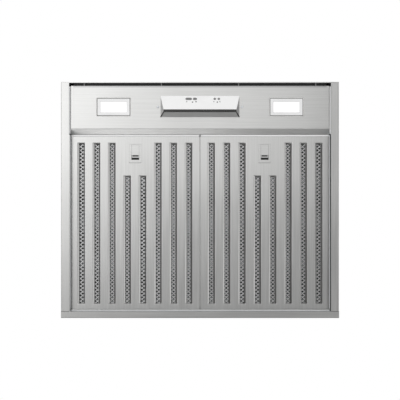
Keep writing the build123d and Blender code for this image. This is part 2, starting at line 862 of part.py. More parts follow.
def slot_section(offset, start, shrink):
    """Outline of a slot, drawn in by shrink on all sides."""
    length = slot_rear_y - start
    return Pos(filter_centre_x + offset, (slot_rear_y + start) / 2) * Rectangle(
        slot_width - 2 * shrink, length - 2 * shrink)


def slot_funnel(offset, start, wall):
    """Solid between the slot's edge in the face and its narrow end at the mesh."""
    low = Plane.XY.offset(face_z) * slot_section(offset, start, -wall)
    high = Plane.XY.offset(mesh_bottom_z) * slot_section(offset, start, slot_lip_run - wall)
    return loft([low, high], ruled=True)


def latch_cutout(grow):
    """Plan outline of the latch plate, grown on all sides."""
    return Pos(filter_centre_x, (latch_plate_front_y + latch_plate_rear_y) / 2) * RectangleRounded(
        latch_plate_width + 2 * grow, latch_plate_length + 2 * grow, latch_plate_corner)


def tongue_window(y0, y1):
    """Cutter for the right tongue's way through an upright wall, between two places along Y."""
    half = tongue_width / 2 + latch_running_gap
    low = face_z + tongue_height - latch_running_gap
    high = face_z + tongue_height + tongue_thickness + latch_running_gap
    return block(filter_centre_x - half, filter_centre_x + half, y0, y1, low, high)


def filter_face():
    """Right filter's pressed front sheet: rim, lipped slots, latch opening, rolled rear edge."""
    face = block(filter_inner_x, filter_outer_x, filter_front_y, filter_pivot_y, face_z, filter_top_z)
    face -= block(filter_inner_x + filter_sheet, filter_outer_x - filter_sheet, filter_front_y + filter_sheet,
                  filter_pivot_y - filter_sheet, face_z + filter_sheet, filter_top_z + 1)
    for offset, start in slot_places():
        face += slot_funnel(offset, start, filter_sheet)
    for offset, start in slot_places():
        face -= slot_funnel(offset, start, 0.0)
    face -= along_z(latch_cutout(latch_fit), face_z - 1, face_z + filter_sheet)
    face += rod_x(bead_radius, filter_inner_x, filter_outer_x, filter_pivot_y, filter_pivot_z)
    return face - tongue_window(filter_front_y - 1, filter_front_y + filter_sheet + 1)


def filter_mesh():
    """Right filter's expanded mesh pack, between the slot lips and the back sheet."""
    return block(filter_inner_x + filter_sheet, filter_outer_x - filter_sheet, filter_front_y + filter_sheet,
                 filter_pivot_y - bead_radius, mesh_bottom_z, back_sheet_z)


def filter_back():
    """Right filter's back sheet with its own row of slots, set between those in front."""
    back = block(filter_inner_x + filter_sheet, filter_outer_x - filter_sheet, filter_front_y + filter_sheet,
                 filter_pivot_y - bead_radius, back_sheet_z, filter_top_z)
    start = filter_front_y + back_slot_margin
    end = filter_pivot_y - back_slot_margin
    for x in row(filter_centre_x, slot_pitch, slot_count - 1):
        hole = Pos(x, (start + end) / 2) * RectangleRounded(back_slot_width, end - start, back_slot_corner)
        back -= along_z(hole, back_sheet_z - 1, filter_top_z + 1)
    return back


def latch_housing():
    """Right latch cup: plate flush with the filter's face, window, walls and a closed top."""
    top = mesh_bottom_z
    outer = along_z(latch_cutout(0.0), face_z, top)
    inner_x = latch_plate_width / 2 - latch_wall
    y0 = latch_plate_front_y + latch_wall
    cup = outer - block(filter_centre_x - inner_x, filter_centre_x + inner_x, y0,
                        latch_plate_rear_y - latch_wall, face_z + latch_floor, top - latch_floor)
    cup -= block(filter_centre_x - latch_window_width / 2, filter_centre_x + latch_window_width / 2,
                 latch_window_front_y, latch_window_rear_y, face_z - 1, face_z + latch_floor)
    return cup - tongue_window(latch_plate_front_y - 1, y0 + 1)


def latch_slide():
    """Right latch: handle flush with the plate, grip rib, and the tongue that meets the keeper."""
    half = latch_window_width / 2 - latch_running_gap
    slide = block(filter_centre_x - half, filter_centre_x + half, handle_front_y, handle_rear_y,
                  face_z, face_z + handle_thickness)
    tongue_low = face_z + tongue_height
    neck = handle_front_y + tongue_neck
    x0 = filter_centre_x - tongue_width / 2
    x1 = filter_centre_x + tongue_width / 2
    slide += block(x0, x1, upright_y + keeper_gap, neck, tongue_low, tongue_low + tongue_thickness)
    slide += block(x0, x1, handle_front_y, neck, face_z + handle_thickness, tongue_low)
    rib_start = handle_rear_y + finger_gap
    rib_end = rib_start + grip_rib_thickness
    rib_low = face_z + handle_thickness
    rib_high = mesh_bottom_z - latch_floor - latch_running_gap
    reach = half - grip_rib_inset
    slide += block(filter_centre_x - reach, filter_centre_x + reach, rib_start, rib_end, rib_low, rib_high)
    for side in (-1, 1):
        web = filter_centre_x + side * (reach - handle_web_thickness)
        slide += block(filter_centre_x + side * reach, web, handle_rear_y - handle_web_reach, rib_end,
                       rib_low, rib_high - handle_web_drop)
    return slide


# ---------------------------------------------------------------- blower
def scroll_point(angle, grow=0.0):
    """A point of the scroll's spiral, in (y, z), at an angle from the +Y direction."""
    radius = cutoff_radius * math.exp(scroll_growth * (angle - tongue_angle)) + grow
    a = math.radians(angle)
    return (blower_axis_y + radius * math.cos(a), blower_axis_z + radius * math.sin(a))


def scroll_curve(grow):
    """The spiral as one smooth curve."""
    count = int(round((360.0 - tongue_angle) / scroll_step))
    return Spline(*[scroll_point(tongue_angle + i * scroll_step, grow) for i in range(count + 1)])


def scroll_wrapper():
    """Spiral sheet around the wheel, with the straight walls of the outlet."""
    inner = scroll_curve(0.0)
    outer = scroll_curve(sheet)
    strip = make_face(Wire([inner, Line(inner @ 1, outer @ 1), outer, Line(outer @ 0, inner @ 0)]))
    rear = Pos(outlet_rear_y + sheet / 2, (blower_axis_z + scroll_top_z) / 2) * Rectangle(
        sheet, scroll_top_z - blower_axis_z)
    tongue_z = scroll_point(tongue_angle)[1]
    front = Pos(outlet_front_y - sheet / 2, (tongue_z + scroll_top_z) / 2) * Rectangle(
        sheet, scroll_top_z - tongue_z)
    wrapper = along_x(strip, -half_scroll, half_scroll)
    return wrapper + along_x(rear, -half_scroll, half_scroll) + along_x(front, -half_scroll, half_scroll)


def scroll_side():
    """Right side of the scroll: flat sheet past the spiral, with the flared inlet."""
    edge = scroll_curve(side_flange)
    spiral = make_face(Wire([edge, Line(edge @ 1, edge @ 0)]))
    neck_y0 = outlet_front_y - side_flange
    neck_y1 = outlet_rear_y + side_flange
    neck = Pos((neck_y0 + neck_y1) / 2, (blower_axis_z + scroll_top_z) / 2) * Rectangle(
        neck_y1 - neck_y0, scroll_top_z - blower_axis_z)
    plate = along_x(spiral + neck, half_scroll, half_scroll + sheet)
    flare_radius = inlet_radius + bellmouth + sheet / 2
    flare_x = half_scroll + sheet / 2 - bellmouth
    plate -= rod_x(flare_radius, half_scroll - 1, half_scroll + 2, blower_axis_y, blower_axis_z)
    section = trace(CenterArc((flare_x, flare_radius), bellmouth, -90, 90), sheet)
    return plate + about_blower_axis(section)


def about_blower_axis(section):
    """Turn a section drawn in (x, radius) about the wheel's axis."""
    plane = Plane(origin=(0, blower_axis_y, blower_axis_z), x_dir=(1, 0, 0), z_dir=(0, -1, 0))
    return revolve(plane * section, Axis((0, blower_axis_y, blower_axis_z), (1, 0, 0)), 360)


def outline(points):
    """A closed face through corner points."""
    return make_face(Polyline(*points, close=True))


def ring_section(x0, x1, r0, r1):
    """A rectangular section, in (x, radius)."""
    return outline([(x0, r0), (x1, r0), (x1, r1), (x0, r1)])


def impeller():
    """Squirrel-cage wheel: forward-curved blades, two end rings, a centre disc and its hub."""
    inner = impeller_radius - blade_depth
    outer = impeller_radius + rim_overhang
    bore = shaft_radius + hub_clearance
    wheel = [about_blower_axis(ring_section(-hub_disc / 2, hub_disc / 2, bore, outer)
                               + ring_section(-hub_length / 2, hub_length / 2, bore, hub_radius))]
    lead = math.radians(blade_lead)
    middle = (inner + impeller_radius) / 2
    arc = ThreePointArc((inner, 0), (middle * math.cos(lead / 4), middle * math.sin(lead / 4)),
                        (impeller_radius * math.cos(lead), impeller_radius * math.sin(lead)))
    blade_end = half_wheel - end_ring_width
    blade = along_x(trace(arc, blade_thickness), hub_disc / 2, blade_end)
    ring = about_blower_axis(ring_section(blade_end, half_wheel, inner + end_ring_setback, outer))
    for place in (ring, mirrored(ring)):
        wheel.append(place)
    for i in range(blade_count):
        turned = Pos(0, blower_axis_y, blower_axis_z) * Rot(X=i * 360 / blade_count) * blade
        wheel += [turned, mirrored(turned)]
    return Compound(children=wheel)


def motor_shaft():
    """Shaft from inside the motor to the far end of the hub."""
    shaft = rod_x(shaft_radius, motor_end_x - shaft_depth, hub_length / 2 + shaft_end_reach,
                  blower_axis_y, blower_axis_z)
    return chamfer(shaft.edges().filter_by(GeomType.CIRCLE), shaft_chamfer)


def motor():
    """Motor: banded shell with sloped end bells and the shaft's bearing bore."""
    low = motor_end_radius
    high = motor_radius
    step = motor_chamfer
    section = outline([(motor_start_x, 0), (motor_start_x, low), (motor_start_x + step, high),
                       (motor_end_x - step, high), (motor_end_x, low), (motor_end_x, 0)])
    body = about_blower_axis(section)
    for x in (motor_start_x + step, motor_end_x - step - motor_rib):
        body += about_blower_axis(ring_section(x, x + motor_rib, low, high + motor_rib_height))
    bore = rod_x(shaft_radius + shaft_clearance, motor_end_x - shaft_depth - 1, motor_end_x + 1,
                 blower_axis_y, blower_axis_z)
    return body - bore


def motor_bracket():
    """Band around the motor with three bent arms that foot on the left scroll side."""
    middle = (motor_start_x + motor_end_x) / 2 - bracket_band_shift
    inner = motor_radius
    band = about_blower_axis(ring_section(middle - bracket_band_width / 2, middle + bracket_band_width / 2,
                                          inner, inner + bracket_thickness))
    foot_x = -half_scroll - sheet - bracket_thickness / 2
    knee = inlet_radius + bellmouth
    foot_start = knee + bracket_arm_rise
    section = folded([(middle, inner + bracket_thickness / 2), (middle, knee), (foot_x, foot_start),
                      (foot_x, foot_start + bracket_foot_length)], bracket_thickness, bracket_radius)
    arm = extrude(Plane.XZ * section, bracket_arm_width / 2, both=True)
    for angle in bracket_arm_angles:
        band += Pos(0, blower_axis_y, blower_axis_z) * Rot(X=angle - 90) * arm
    return band - rod_x(inner, motor_start_x, motor_end_x, blower_axis_y, blower_axis_z)


def run_capacitor():
    """Capacitor can on the chamber's left wall, with its rim and two terminals."""
    start = -chamber_half_width + sheet
    can = rod_x(capacitor_radius, start, start + capacitor_length, capacitor_y, capacitor_z)
    can = chamfer(can.edges().filter_by(GeomType.CIRCLE), capacitor_edge)
    end = start + capacitor_length
    for y in row(capacitor_y, terminal_spacing, 2):
        blade = Pos(y, capacitor_z) * Rectangle(terminal_thickness, terminal_width)
        can += along_x(blade, end, end + terminal_length)
    return can


def blower_chamber():
    """Four-sided wrap above the roof, with an outward flange at its foot."""
    wide = 2 * chamber_half_width
    outer = RectangleRounded(wide, chamber_depth, chamber_corner + sheet)
    inner = RectangleRounded(wide - 2 * sheet, chamber_depth - 2 * sheet, chamber_corner)
    foot = Rectangle(wide + 2 * chamber_flange, chamber_depth + 2 * chamber_flange)
    wrap = along_z(outer, roof_top_z, chamber_top_z) + along_z(foot, roof_top_z, roof_top_z + sheet)
    return Pos(0, chamber_middle_y) * (wrap - along_z(inner, roof_top_z - 1, chamber_top_z + 1))


def chamber_lid():
    """Lid with a skirt around the chamber and the duct opening."""
    wide = 2 * chamber_half_width
    inner = RectangleRounded(wide, chamber_depth, chamber_corner + sheet)
    outer = RectangleRounded(wide + 2 * sheet, chamber_depth + 2 * sheet, chamber_corner + 2 * sheet)
    skirt_z = chamber_top_z - lid_skirt
    lid = along_z(outer, skirt_z, collar_base_z)
    lid = fillet(lid.faces().sort_by(Axis.Z)[-1].edges(), lid_edge)
    lid = Pos(0, chamber_middle_y) * (lid - along_z(inner, skirt_z - 1, chamber_top_z))
    return lid - rod_z(collar_bore, 0, collar_y, chamber_top_z - 1, collar_base_z + 1)


def ring_z(inner, outer, z0, z1):
    """A flat ring about the collar's axis."""
    return along_z(Pos(0, collar_y) * (Circle(outer) - Circle(inner)), z0, z1)


def outlet_transition():
    """Duct piece from the scroll's square outlet to the round collar, with a top flange."""
    throat = outlet_rear_y - outlet_front_y

    def funnel(wall):
        square = Plane.XY.offset(scroll_top_z) * Pos(0, collar_y) * Rectangle(
            scroll_width + 2 * wall, throat + 2 * wall)
        circle = Plane.XY.offset(transition_top_z) * Pos(0, collar_y) * Circle(collar_bore + wall)
        return loft([square, circle], ruled=True)

    flange = ring_z(collar_bore, collar_radius + transition_flange, transition_top_z, chamber_top_z)
    return funnel(sheet) - funnel(0.0) + flange


def duct_collar():
    """Round collar on its flange ring, with a stop bead for the flaps and holes for their rods."""
    foot_z = collar_base_z + collar_wall
    flange = ring_z(collar_bore, collar_radius + collar_flange, collar_base_z, foot_z)
    stop_low = flap_stop_z - flap_stop_thickness
    tube = ring_z(collar_bore, collar_radius, foot_z, collar_base_z + collar_height)
    tube += ring_z(collar_bore - flap_stop_width, collar_radius, stop_low, flap_stop_z)
    for y in row(collar_y, damper_rod_spread, 2):
        tube -= rod_x(damper_rod_radius, -collar_radius, collar_radius, y, damper_z)
    return Compound(children=[tube, flange])


def damper_rod():
    """The flaps' two rods across the collar, and the bar below them that both flaps shut onto."""
    reach = math.sqrt(collar_radius ** 2 - (damper_rod_spread / 2 + damper_rod_radius) ** 2) - damper_rod_end
    rods = [rod_x(damper_rod_radius, -reach, reach, y, damper_z) for y in row(collar_y, damper_rod_spread, 2)]
    half = collar_bore - flap_stop_width
    bar = along_z(Pos(0, collar_y) * (Rectangle(2 * half, flap_middle_gap + 2 * flap_overlap) & Circle(half)),
                  flap_stop_z - flap_stop_thickness, flap_stop_z)
    return Compound(children=rods + [bar])


def damper_flap():
    """Rear flap: most of half a disc below its rod, with two knuckles on the rod."""
    radius = collar_bore - flap_edge_gap
    rod_y = collar_y + damper_rod_spread / 2
    rear_half = Pos(0, (radius + flap_middle_gap) / 2) * Rectangle(2 * radius, radius)
    plate = Pos(0, collar_y) * (Circle(radius) & rear_half)
    flap = along_z(plate, flap_bottom_z, flap_bottom_z + flap_thickness)
    for x in row(0, knuckle_pitch, 2):
        flap += rod_x(knuckle_radius, x - knuckle_width / 2, x + knuckle_width / 2, rod_y, damper_z)
    return flap - rod_x(damper_rod_radius + damper_rod_clearance, -radius, radius, rod_y, damper_z)


# ---------------------------------------------------------------- junction box and screws
def junction_box():
    """Wiring box on the roof, open above, with knock-outs in its rear wall."""
    x0 = junction_x - junction_length / 2
    y0 = junction_y - junction_width / 2
    x1 = x0 + junction_length
    y1 = y0 + junction_width
    low = roof_top_z
    box = block(x0, x1, y0, y1, low, low + junction_height)
    box = fillet(box.edges().filter_by(Axis.Z), junction_corner)
    box -= block(x0 + junction_wall, x1 - junction_wall, y0 + junction_wall, y1 - junction_wall,
                 low + junction_wall, low + junction_height + 1)
    groove = Circle(knockout_radius + knockout_groove) - Circle(knockout_radius)
    for x in row(junction_x, knockout_pitch, 2):
        box -= along_y(Pos(x, low + junction_height / 2) * groove, y1 - knockout_depth, y1 + 1)
    return box


def junction_box_cover():
    """Cover with short down-turned edges."""
    top = roof_top_z + junction_height
    low = top - junction_cover_skirt
    place = Pos(junction_x, junction_y)
    inner = RectangleRounded(junction_length, junction_width, junction_corner)
    outer = RectangleRounded(junction_length + 2 * sheet, junction_width + 2 * sheet, junction_corner + sheet)
    return along_z(place * outer, low, top + sheet) - along_z(place * inner, low - 1, top)


def screw_head(x, y, z):
    """Washer-faced screw head standing on a surface."""
    top = z + screw_head_height
    slot = Pos(x, y) * Rectangle(screw_slot_length, screw_slot_width)
    return rod_z(screw_head_radius, x, y, z, top) - along_z(slot, top - screw_slot_depth, top + 1)


def chassis_screws():
    """Screws of the chamber's foot, the lid's collar and the junction box cover."""
    group = []
    foot_z = roof_top_z + sheet
    for x in row(0, chamber_half_width - screw_end_margin, 3):
        for y in row(chamber_middle_y, chamber_depth + chamber_flange, 2):
            group.append(screw_head(x, y, foot_z))
    for y in row(chamber_middle_y, chamber_depth / 2 - screw_end_margin, 3):
        for x in row(0, 2 * chamber_half_width + chamber_flange, 2):
            group.append(screw_head(x, y, foot_z))
    ring = collar_radius + collar_flange / 2
    for i in range(collar_screw_count):
        a = (i + 0.5) * 2 * math.pi / collar_screw_count
        x = ring * math.cos(a)
        y = collar_y + ring * math.sin(a)
        group.append(screw_head(x, y, collar_base_z + collar_wall))
    for x in row(junction_x, junction_length - 2 * cover_screw_margin, 2):
        group.append(screw_head(x, junction_y, roof_top_z + junction_height + sheet))
    return Compound(children=group)


# ---------------------------------------------------------------- write every node
def main():
    """Build each piece and write it."""
    pairs = (("side_wall", side_wall), ("flange", flange_side), ("lamp_bezel", lamp_bezel),
             ("lamp_lens", lamp_lens), ("lamp_body", lamp_body), ("led_board", led_board),
             ("filter_face", filter_face), ("filter_mesh", filter_mesh), ("filter_back", filter_back),
             ("latch_housing", latch_housing), ("latch_slide", latch_slide), ("scroll_side", scroll_side))
    for name, make in pairs:
        right = make()
        save(right, name + "_right")
        save(mirrored(right), name + "_left")
    singles = (front_wall, back_wall, roof_panel, flange_back, wall_rivets, filter_rail_back, latch_rail,
               control_panel, panel_gasket, panel_screws, control_fascia, control_housing, ridge_strip,
               control_board, control_box, power_board, scroll_wrapper, impeller, motor_shaft, motor,
               motor_bracket, run_capacitor, blower_chamber, chamber_lid, outlet_transition, duct_collar,
               damper_rod, junction_box, junction_box_cover, chassis_screws)
    for make in singles:
        save(make(), make.__name__)
    for name, x, length, round_key in keys():
        save(key_solid(x, length, round_key), name)
    rear_flap = damper_flap()
    save(rear_flap, "damper_flap_rear")
    turn = Pos(0, collar_y) * Rot(Z=180) * Pos(0, -collar_y)
    save(turn * rear_flap, "damper_flap_front")


main()
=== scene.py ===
"""Looks of a built-in range hood insert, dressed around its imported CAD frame.

Everything is in metres in the CAD's own frame: +Z up into the cabinet, -Y to the front of the hood.
"""

import logging
import math
from dataclasses import dataclass
from enum import Enum
from functools import cache
from typing import Callable, Iterable, Sequence

import bmesh
import bpy
from bmesh.types import BMEdge, BMesh, BMFace, BMVert
from bpy.types import Material, Node, NodeSocket, NodeTree, Object
from mathutils import Matrix, Vector


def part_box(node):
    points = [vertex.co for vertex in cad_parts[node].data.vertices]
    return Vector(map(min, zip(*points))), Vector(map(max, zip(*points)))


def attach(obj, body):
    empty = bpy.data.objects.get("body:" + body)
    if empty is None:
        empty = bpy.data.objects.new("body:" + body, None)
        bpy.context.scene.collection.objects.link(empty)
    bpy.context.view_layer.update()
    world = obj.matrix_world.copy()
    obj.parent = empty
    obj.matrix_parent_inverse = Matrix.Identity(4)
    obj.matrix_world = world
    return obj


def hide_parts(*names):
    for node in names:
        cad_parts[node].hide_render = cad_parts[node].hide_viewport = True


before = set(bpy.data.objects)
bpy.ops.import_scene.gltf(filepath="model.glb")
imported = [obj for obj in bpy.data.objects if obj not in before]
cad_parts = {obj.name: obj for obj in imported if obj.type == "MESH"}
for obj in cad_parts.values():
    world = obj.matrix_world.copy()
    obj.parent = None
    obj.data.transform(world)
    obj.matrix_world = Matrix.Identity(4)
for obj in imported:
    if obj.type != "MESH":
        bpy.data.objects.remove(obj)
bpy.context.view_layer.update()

MM = 0.001
LOG = logging.getLogger("range_hood_insert")


class Side(Enum):
    """The two mirrored halves of the hood, as seen by someone in front of it."""

    LEFT = -1
    RIGHT = 1

    @property
    def tag(self) -> str:
        """The ending that this side's pieces have in their names."""
        return "left" if self is Side.LEFT else "right"


class Grain(Enum):
    """The axis that a sheet was brushed or rolled along."""

    ALONG_X = 0
    ALONG_Y = 1


# ---- colour and node helpers
def linear(hex_colour: str) -> tuple[float, float, float, float]:
    """Turn an sRGB hex colour into the linear one that shaders take.

    Args:
        hex_colour: Six hex digits, such as "c8c8c8".

    Returns:
        Linear red, green, blue and an alpha of 1.
    """
    # The numbers are those of the sRGB curve.
    channels = [int(hex_colour[i:i + 2], 16) / 255 for i in (0, 2, 4)]
    red, green, blue = (c / 12.92 if c <= 0.04045 else ((c + 0.055) / 1.055) ** 2.4 for c in channels)
    return red, green, blue, 1.0


def add_node(tree: NodeTree, kind: str, settings: dict | None = None) -> Node:
    """Add one shader node, set it up and link its inputs.

    Args:
        tree: The node tree to add to.
        kind: The node's type name, such as "ShaderNodeBsdfPrincipled".
        settings: Values by attribute name, input name or input number. An output socket is linked.

    Returns:
        The new node.
    """
    node = tree.nodes.new(kind)
    for name, value in (settings or {}).items():
        if isinstance(value, NodeSocket):
            tree.links.new(value, node.inputs[name])
        elif isinstance(name, str) and hasattr(node, name):
            setattr(node, name, value)
        else:
            node.inputs[name].default_value = value
    return node


def object_pattern(tree: NodeTree, per_metre: float | Sequence[float]) -> NodeSocket:
    """Object coordinates, counted in a pattern's cycles.

    Args:
        tree: The material's node tree.
        per_metre: Cycles per metre, or those along X, Y and Z.

    Returns:
        The vector socket.
    """
    scale = [per_metre] * 3 if isinstance(per_metre, float) else per_metre
    place = add_node(tree, "ShaderNodeTexCoord").outputs["Object"]
    return add_node(tree, "ShaderNodeMapping", {"Scale": scale, "Vector": place}).outputs["Vector"]


def noise(tree: NodeTree, per_metre: float | Sequence[float], detail: float,
          roughness: float = 0.5) -> NodeSocket:
    """Noise over the object.

    Args:
        tree: The material's node tree.
        per_metre: Blotches per metre, or those along X, Y and Z.
        detail: How many finer octaves it has.
        roughness: How strong the finer octaves are.

    Returns:
        The noise value's socket.
    """
    place = object_pattern(tree, per_metre)
    settings = {"Scale": 1.0, "Detail": detail, "Roughness": roughness, "Vector": place}
    return add_node(tree, "ShaderNodeTexNoise", settings).outputs["Fac"]


def remap(tree: NodeTree, value: NodeSocket, low: float, high: float,
          start: float = 0.3, end: float = 0.7) -> NodeSocket:
    """Spread a noise value between two numbers.

    Args:
        tree: The material's node tree.
        value: The noise, mostly between start and end.
        low: The result at start.
        high: The result at end.
        start: Lowest value that is told apart.
        end: Highest value that is told apart.

    Returns:
        The spread value's socket.
    """
    settings = {"Value": value, "From Min": start, "From Max": end, "To Min": low, "To Max": high}
    return add_node(tree, "ShaderNodeMapRange", settings).outputs["Result"]


def tint(tree: NodeTree, factor: NodeSocket, dark: str, light: str) -> NodeSocket:
    """Blend two colours by a factor.

    Args:
        tree: The material's node tree.
        factor: 0 for the first colour and 1 for the second.
        dark: sRGB hex of the first colour.
        light: sRGB hex of the second colour.

    Returns:
        The colour socket.
    """
    # The mix node takes its colours at inputs 6 and 7, and gives a colour at output 2.
    settings = {"data_type": "RGBA", 0: factor, 6: linear(dark), 7: linear(light)}
    return add_node(tree, "ShaderNodeMix", settings).outputs[2]


# ---- finishes
@dataclass(frozen=True)
class Finish:
    """What a surface is: its material's name and the nodes that draw it."""

    name: str

    def surface(self, tree: NodeTree) -> dict:
        """Give the shader's settings, after adding the nodes that they come from."""
        raise NotImplementedError

    @cache
    def material(self) -> Material:
        """Build the node material, once.

        Returns:
            The material, which has one shader.
        """
        material = bpy.data.materials.new(self.name)
        material.use_nodes = True
        tree = material.node_tree
        tree.nodes.clear()
        shader = add_node(tree, "ShaderNodeBsdfPrincipled", self.surface(tree))
        add_node(tree, "ShaderNodeOutputMaterial", {"Surface": shader.outputs[0]})
        return material


@dataclass(frozen=True)
class BrushedStainless(Finish):
    """Stainless sheet, belt-brushed: fine parallel scratches that smear reflections across them.

    A real scratch is about 0.1 mm wide. These are drawn as wide as streak_mm, because a pixel of
    the view covers 2.6 mm.
    """

    dark: str = "a6a6a5"
    light: str = "b8b8b7"
    grain: Grain = Grain.ALONG_Y
    streak_mm: float = 2.2
    streak_length_mm: float = 170.0
    roughness: tuple[float, float] = (0.30, 0.40)
    cloud_share: float = 0.35

    def surface(self, tree: NodeTree) -> dict:
        """Draw the brushed metal.

        Args:
            tree: The material's node tree.

        Returns:
            The shader's settings.
        """
        scale = [1.0 / (self.streak_mm * MM)] * 3
        scale[self.grain.value] = 1.0 / (self.streak_length_mm * MM)
        streaks = noise(tree, scale, 3.0, 0.6)
        mixed = {"Factor": self.cloud_share, "A": streaks, "B": noise(tree, 5.0, 2.0)}
        both = remap(tree, add_node(tree, "ShaderNodeMix", mixed).outputs[0], 0.0, 1.0)
        bump = add_node(tree, "ShaderNodeBump", {"Strength": 0.06, "Distance": 0.0004, "Height": streaks})
        return {"Metallic": 1.0, "Base Color": tint(tree, both, self.dark, self.light),
                "Roughness": remap(tree, streaks, *self.roughness), "Normal": bump.outputs["Normal"]}


@dataclass(frozen=True)
class GalvanisedSteel(Finish):
    """Hot-dip zinc coated sheet: a dull grey with a faint spangle of zinc crystals, 9 mm across."""

    dark: str = "8f9396"
    light: str = "b6babd"
    spangle_mm: float = 9.0
    roughness: tuple[float, float] = (0.34, 0.56)
    cloud_share: float = 0.45

    def surface(self, tree: NodeTree) -> dict:
        """Draw the spangled zinc.

        Args:
            tree: The material's node tree.

        Returns:
            The shader's settings.
        """
        place = object_pattern(tree, 1.0 / (self.spangle_mm * MM))
        warp = add_node(tree, "ShaderNodeTexNoise", {"Scale": 0.7, "Detail": 2.0, "Vector": place})
        warped = add_node(tree, "ShaderNodeVectorMath", {
            "operation": "ADD", 0: place, 1: warp.outputs["Color"]})
        cells = add_node(tree, "ShaderNodeTexVoronoi", {"Scale": 1.0, "Vector": warped.outputs[0]})
        crystal = add_node(tree, "ShaderNodeSeparateColor", {0: cells.outputs["Color"]}).outputs[0]
        mixed = {"Factor": self.cloud_share, "A": crystal, "B": noise(tree, 9.0, 3.0)}
        both = add_node(tree, "ShaderNodeMix", mixed).outputs[0]
        return {"Metallic": 0.75, "Base Color": tint(tree, both, self.dark, self.light),
                "Roughness": remap(tree, crystal, *self.roughness, start=0.0, end=1.0)}


@dataclass(frozen=True)
class Moulded(Finish):
    """An even colour with a fine surface grain, as plastic, rubber, paint and plated metal have."""

    dark: str
    light: str
    roughness: tuple[float, float] = (0.40, 0.50)
    grain_mm: float = 0.9
    bump: float = 0.05
    metallic: float = 0.0
    coat: float = 0.0
    cloud_share: float = 0.5

    def surface(self, tree: NodeTree) -> dict:
        """Draw the grained surface.

        Args:
            tree: The material's node tree.

        Returns:
            The shader's settings.
        """
        grain = noise(tree, 1.0 / (self.grain_mm * MM), 4.0, 0.6)
        mixed = {"Factor": self.cloud_share, "A": grain, "B": noise(tree, 14.0, 2.0)}
        both = remap(tree, add_node(tree, "ShaderNodeMix", mixed).outputs[0], 0.0, 1.0)
        bump = add_node(tree, "ShaderNodeBump", {"Strength": self.bump, "Distance": 0.0003, "Height": grain})
        return {"Metallic": self.metallic, "Coat Weight": self.coat,
                "Base Color": tint(tree, both, self.dark, self.light),
                "Roughness": remap(tree, grain, *self.roughness), "Normal": bump.outputs["Normal"]}


@dataclass(frozen=True)
class CircuitBoard(Finish):
    """Fibreglass board under green solder mask, with copper tracks that show as lighter lines."""

    mask: str = "0f3d22"
    track: str = "1f6a3c"
    pitch_mm: float = 4.0

    def surface(self, tree: NodeTree) -> dict:
        """Draw the board's mask and tracks."""
        tracks = add_node(tree, "ShaderNodeTexBrick", {
            "Scale": 1.0, "Mortar Size": 0.08, "Vector": object_pattern(tree, 1.0 / (self.pitch_mm * MM))})
        return {"Roughness": 0.35, "Base Color": tint(tree, tracks.outputs["Fac"], self.mask, self.track)}


@dataclass(frozen=True)
class FrostedDiffuser(Finish):
    """Opal acrylic over a lit lamp: an even white glow, cloudy by a shade."""

    dark: str = "f4f4f4"
    light: str = "fafafa"
    glow: float = 0.35

    def surface(self, tree: NodeTree) -> dict:
        """Draw the opal lens."""
        colour = tint(tree, remap(tree, noise(tree, 40.0, 2.0), 0.0, 1.0), self.dark, self.light)
        return {"Base Color": colour, "Roughness": 0.45, "Emission Color": linear(self.light),
                "Emission Strength": self.glow}


@dataclass(frozen=True)
class StudioFloor(Finish):
    """Matt studio floor: pale and even."""

    dark: str = "e8e8e8"
    light: str = "ededed"

    def surface(self, tree: NodeTree) -> dict:
        """Draw the floor."""
        return {"Roughness": 0.9, "Base Color": tint(tree, noise(tree, 2.0, 2.0), self.dark, self.light)}


# ---- this hood's finishes
STEEL_ACROSS = BrushedStainless("stainless_brushed_across", grain=Grain.ALONG_X)
STEEL_ALONG = BrushedStainless("stainless_brushed_along", grain=Grain.ALONG_Y)
# Folded sheet edges: the same steel, darker because the fold turns away from the light.
STEEL_HEM = BrushedStainless("stainless_hem", "8e8e8e", "9e9e9e", Grain.ALONG_X)
ZINC_SHEET = GalvanisedSteel("galvanised_steel")
# Zinc plating on screws, rivets and rods: bright, a little bluish, with small dull patches.
ZINC_PLATE = Moulded("zinc_plate", "a9adb1", "cdd0d3", (0.24, 0.38), grain_mm=1.5, metallic=1.0)
# Slit and stretched aluminium: soft white metal, dull where the stretching roughened it.
EXPANDED_ALUMINIUM = Moulded(
    "expanded_aluminium", "a4a4a4", "b4b4b4", (0.40, 0.52), grain_mm=1.2, metallic=1.0)
# The deeper layer of the mesh pack: almost black, painted shade for the depth of the pack, so the front
# strands stand out.
DEEP_MESH_SHADE = Moulded("mesh_core_painted_shade", "101010", "181818", (0.80, 0.90), grain_mm=1.2)
# Rolled aluminium of the flaps: pale, with a low satin shine.
MILL_ALUMINIUM = Moulded("mill_aluminium", "b9bbbd", "d3d5d6", (0.32, 0.46), grain_mm=2.0, metallic=1.0)
# Satin white ABS of the control face: an even, slightly soft white.
WHITE_ABS = Moulded("satin_white_abs", "e4e4e4", "ececec", (0.34, 0.42), bump=0.02)
# Silver paint over ABS: metal flake in a clear coat, so it mirrors softly like the steel round it.
SILVER_PAINT = Moulded(
    "silver_paint", "b4b4b4", "c6c6c6", (0.34, 0.44), grain_mm=1.0, bump=0.02, metallic=0.8)
# Black glass-filled nylon: almost black, with a matt fine grain. The same black is painted shade on the ridge
# strip, the hip strips and the latch cup's liner.
BLACK_NYLON_AND_SHADE = Moulded("black_nylon_and_painted_shade", "141414", "222222", (0.50, 0.62), bump=0.08)
# Elastomer keys: a dull mid grey.
KEY_RUBBER = Moulded("key_rubber", "6c6c6c", "7c7c7c", (0.52, 0.62), bump=0.06)
# Pad-printed ink: flat dark grey.
PRINTED_INK = Moulded("printed_ink", "404040", "505050", (0.55, 0.65), grain_mm=0.3)
BOARD = CircuitBoard("solder_mask")
# Satin white paint on the lamp frame: pale and even.
LAMP_FRAME = Moulded("satin_white_paint", "d8d8d8", "e2e2e2", (0.36, 0.44), bump=0.02)
OPAL = FrostedDiffuser("opal_acrylic")
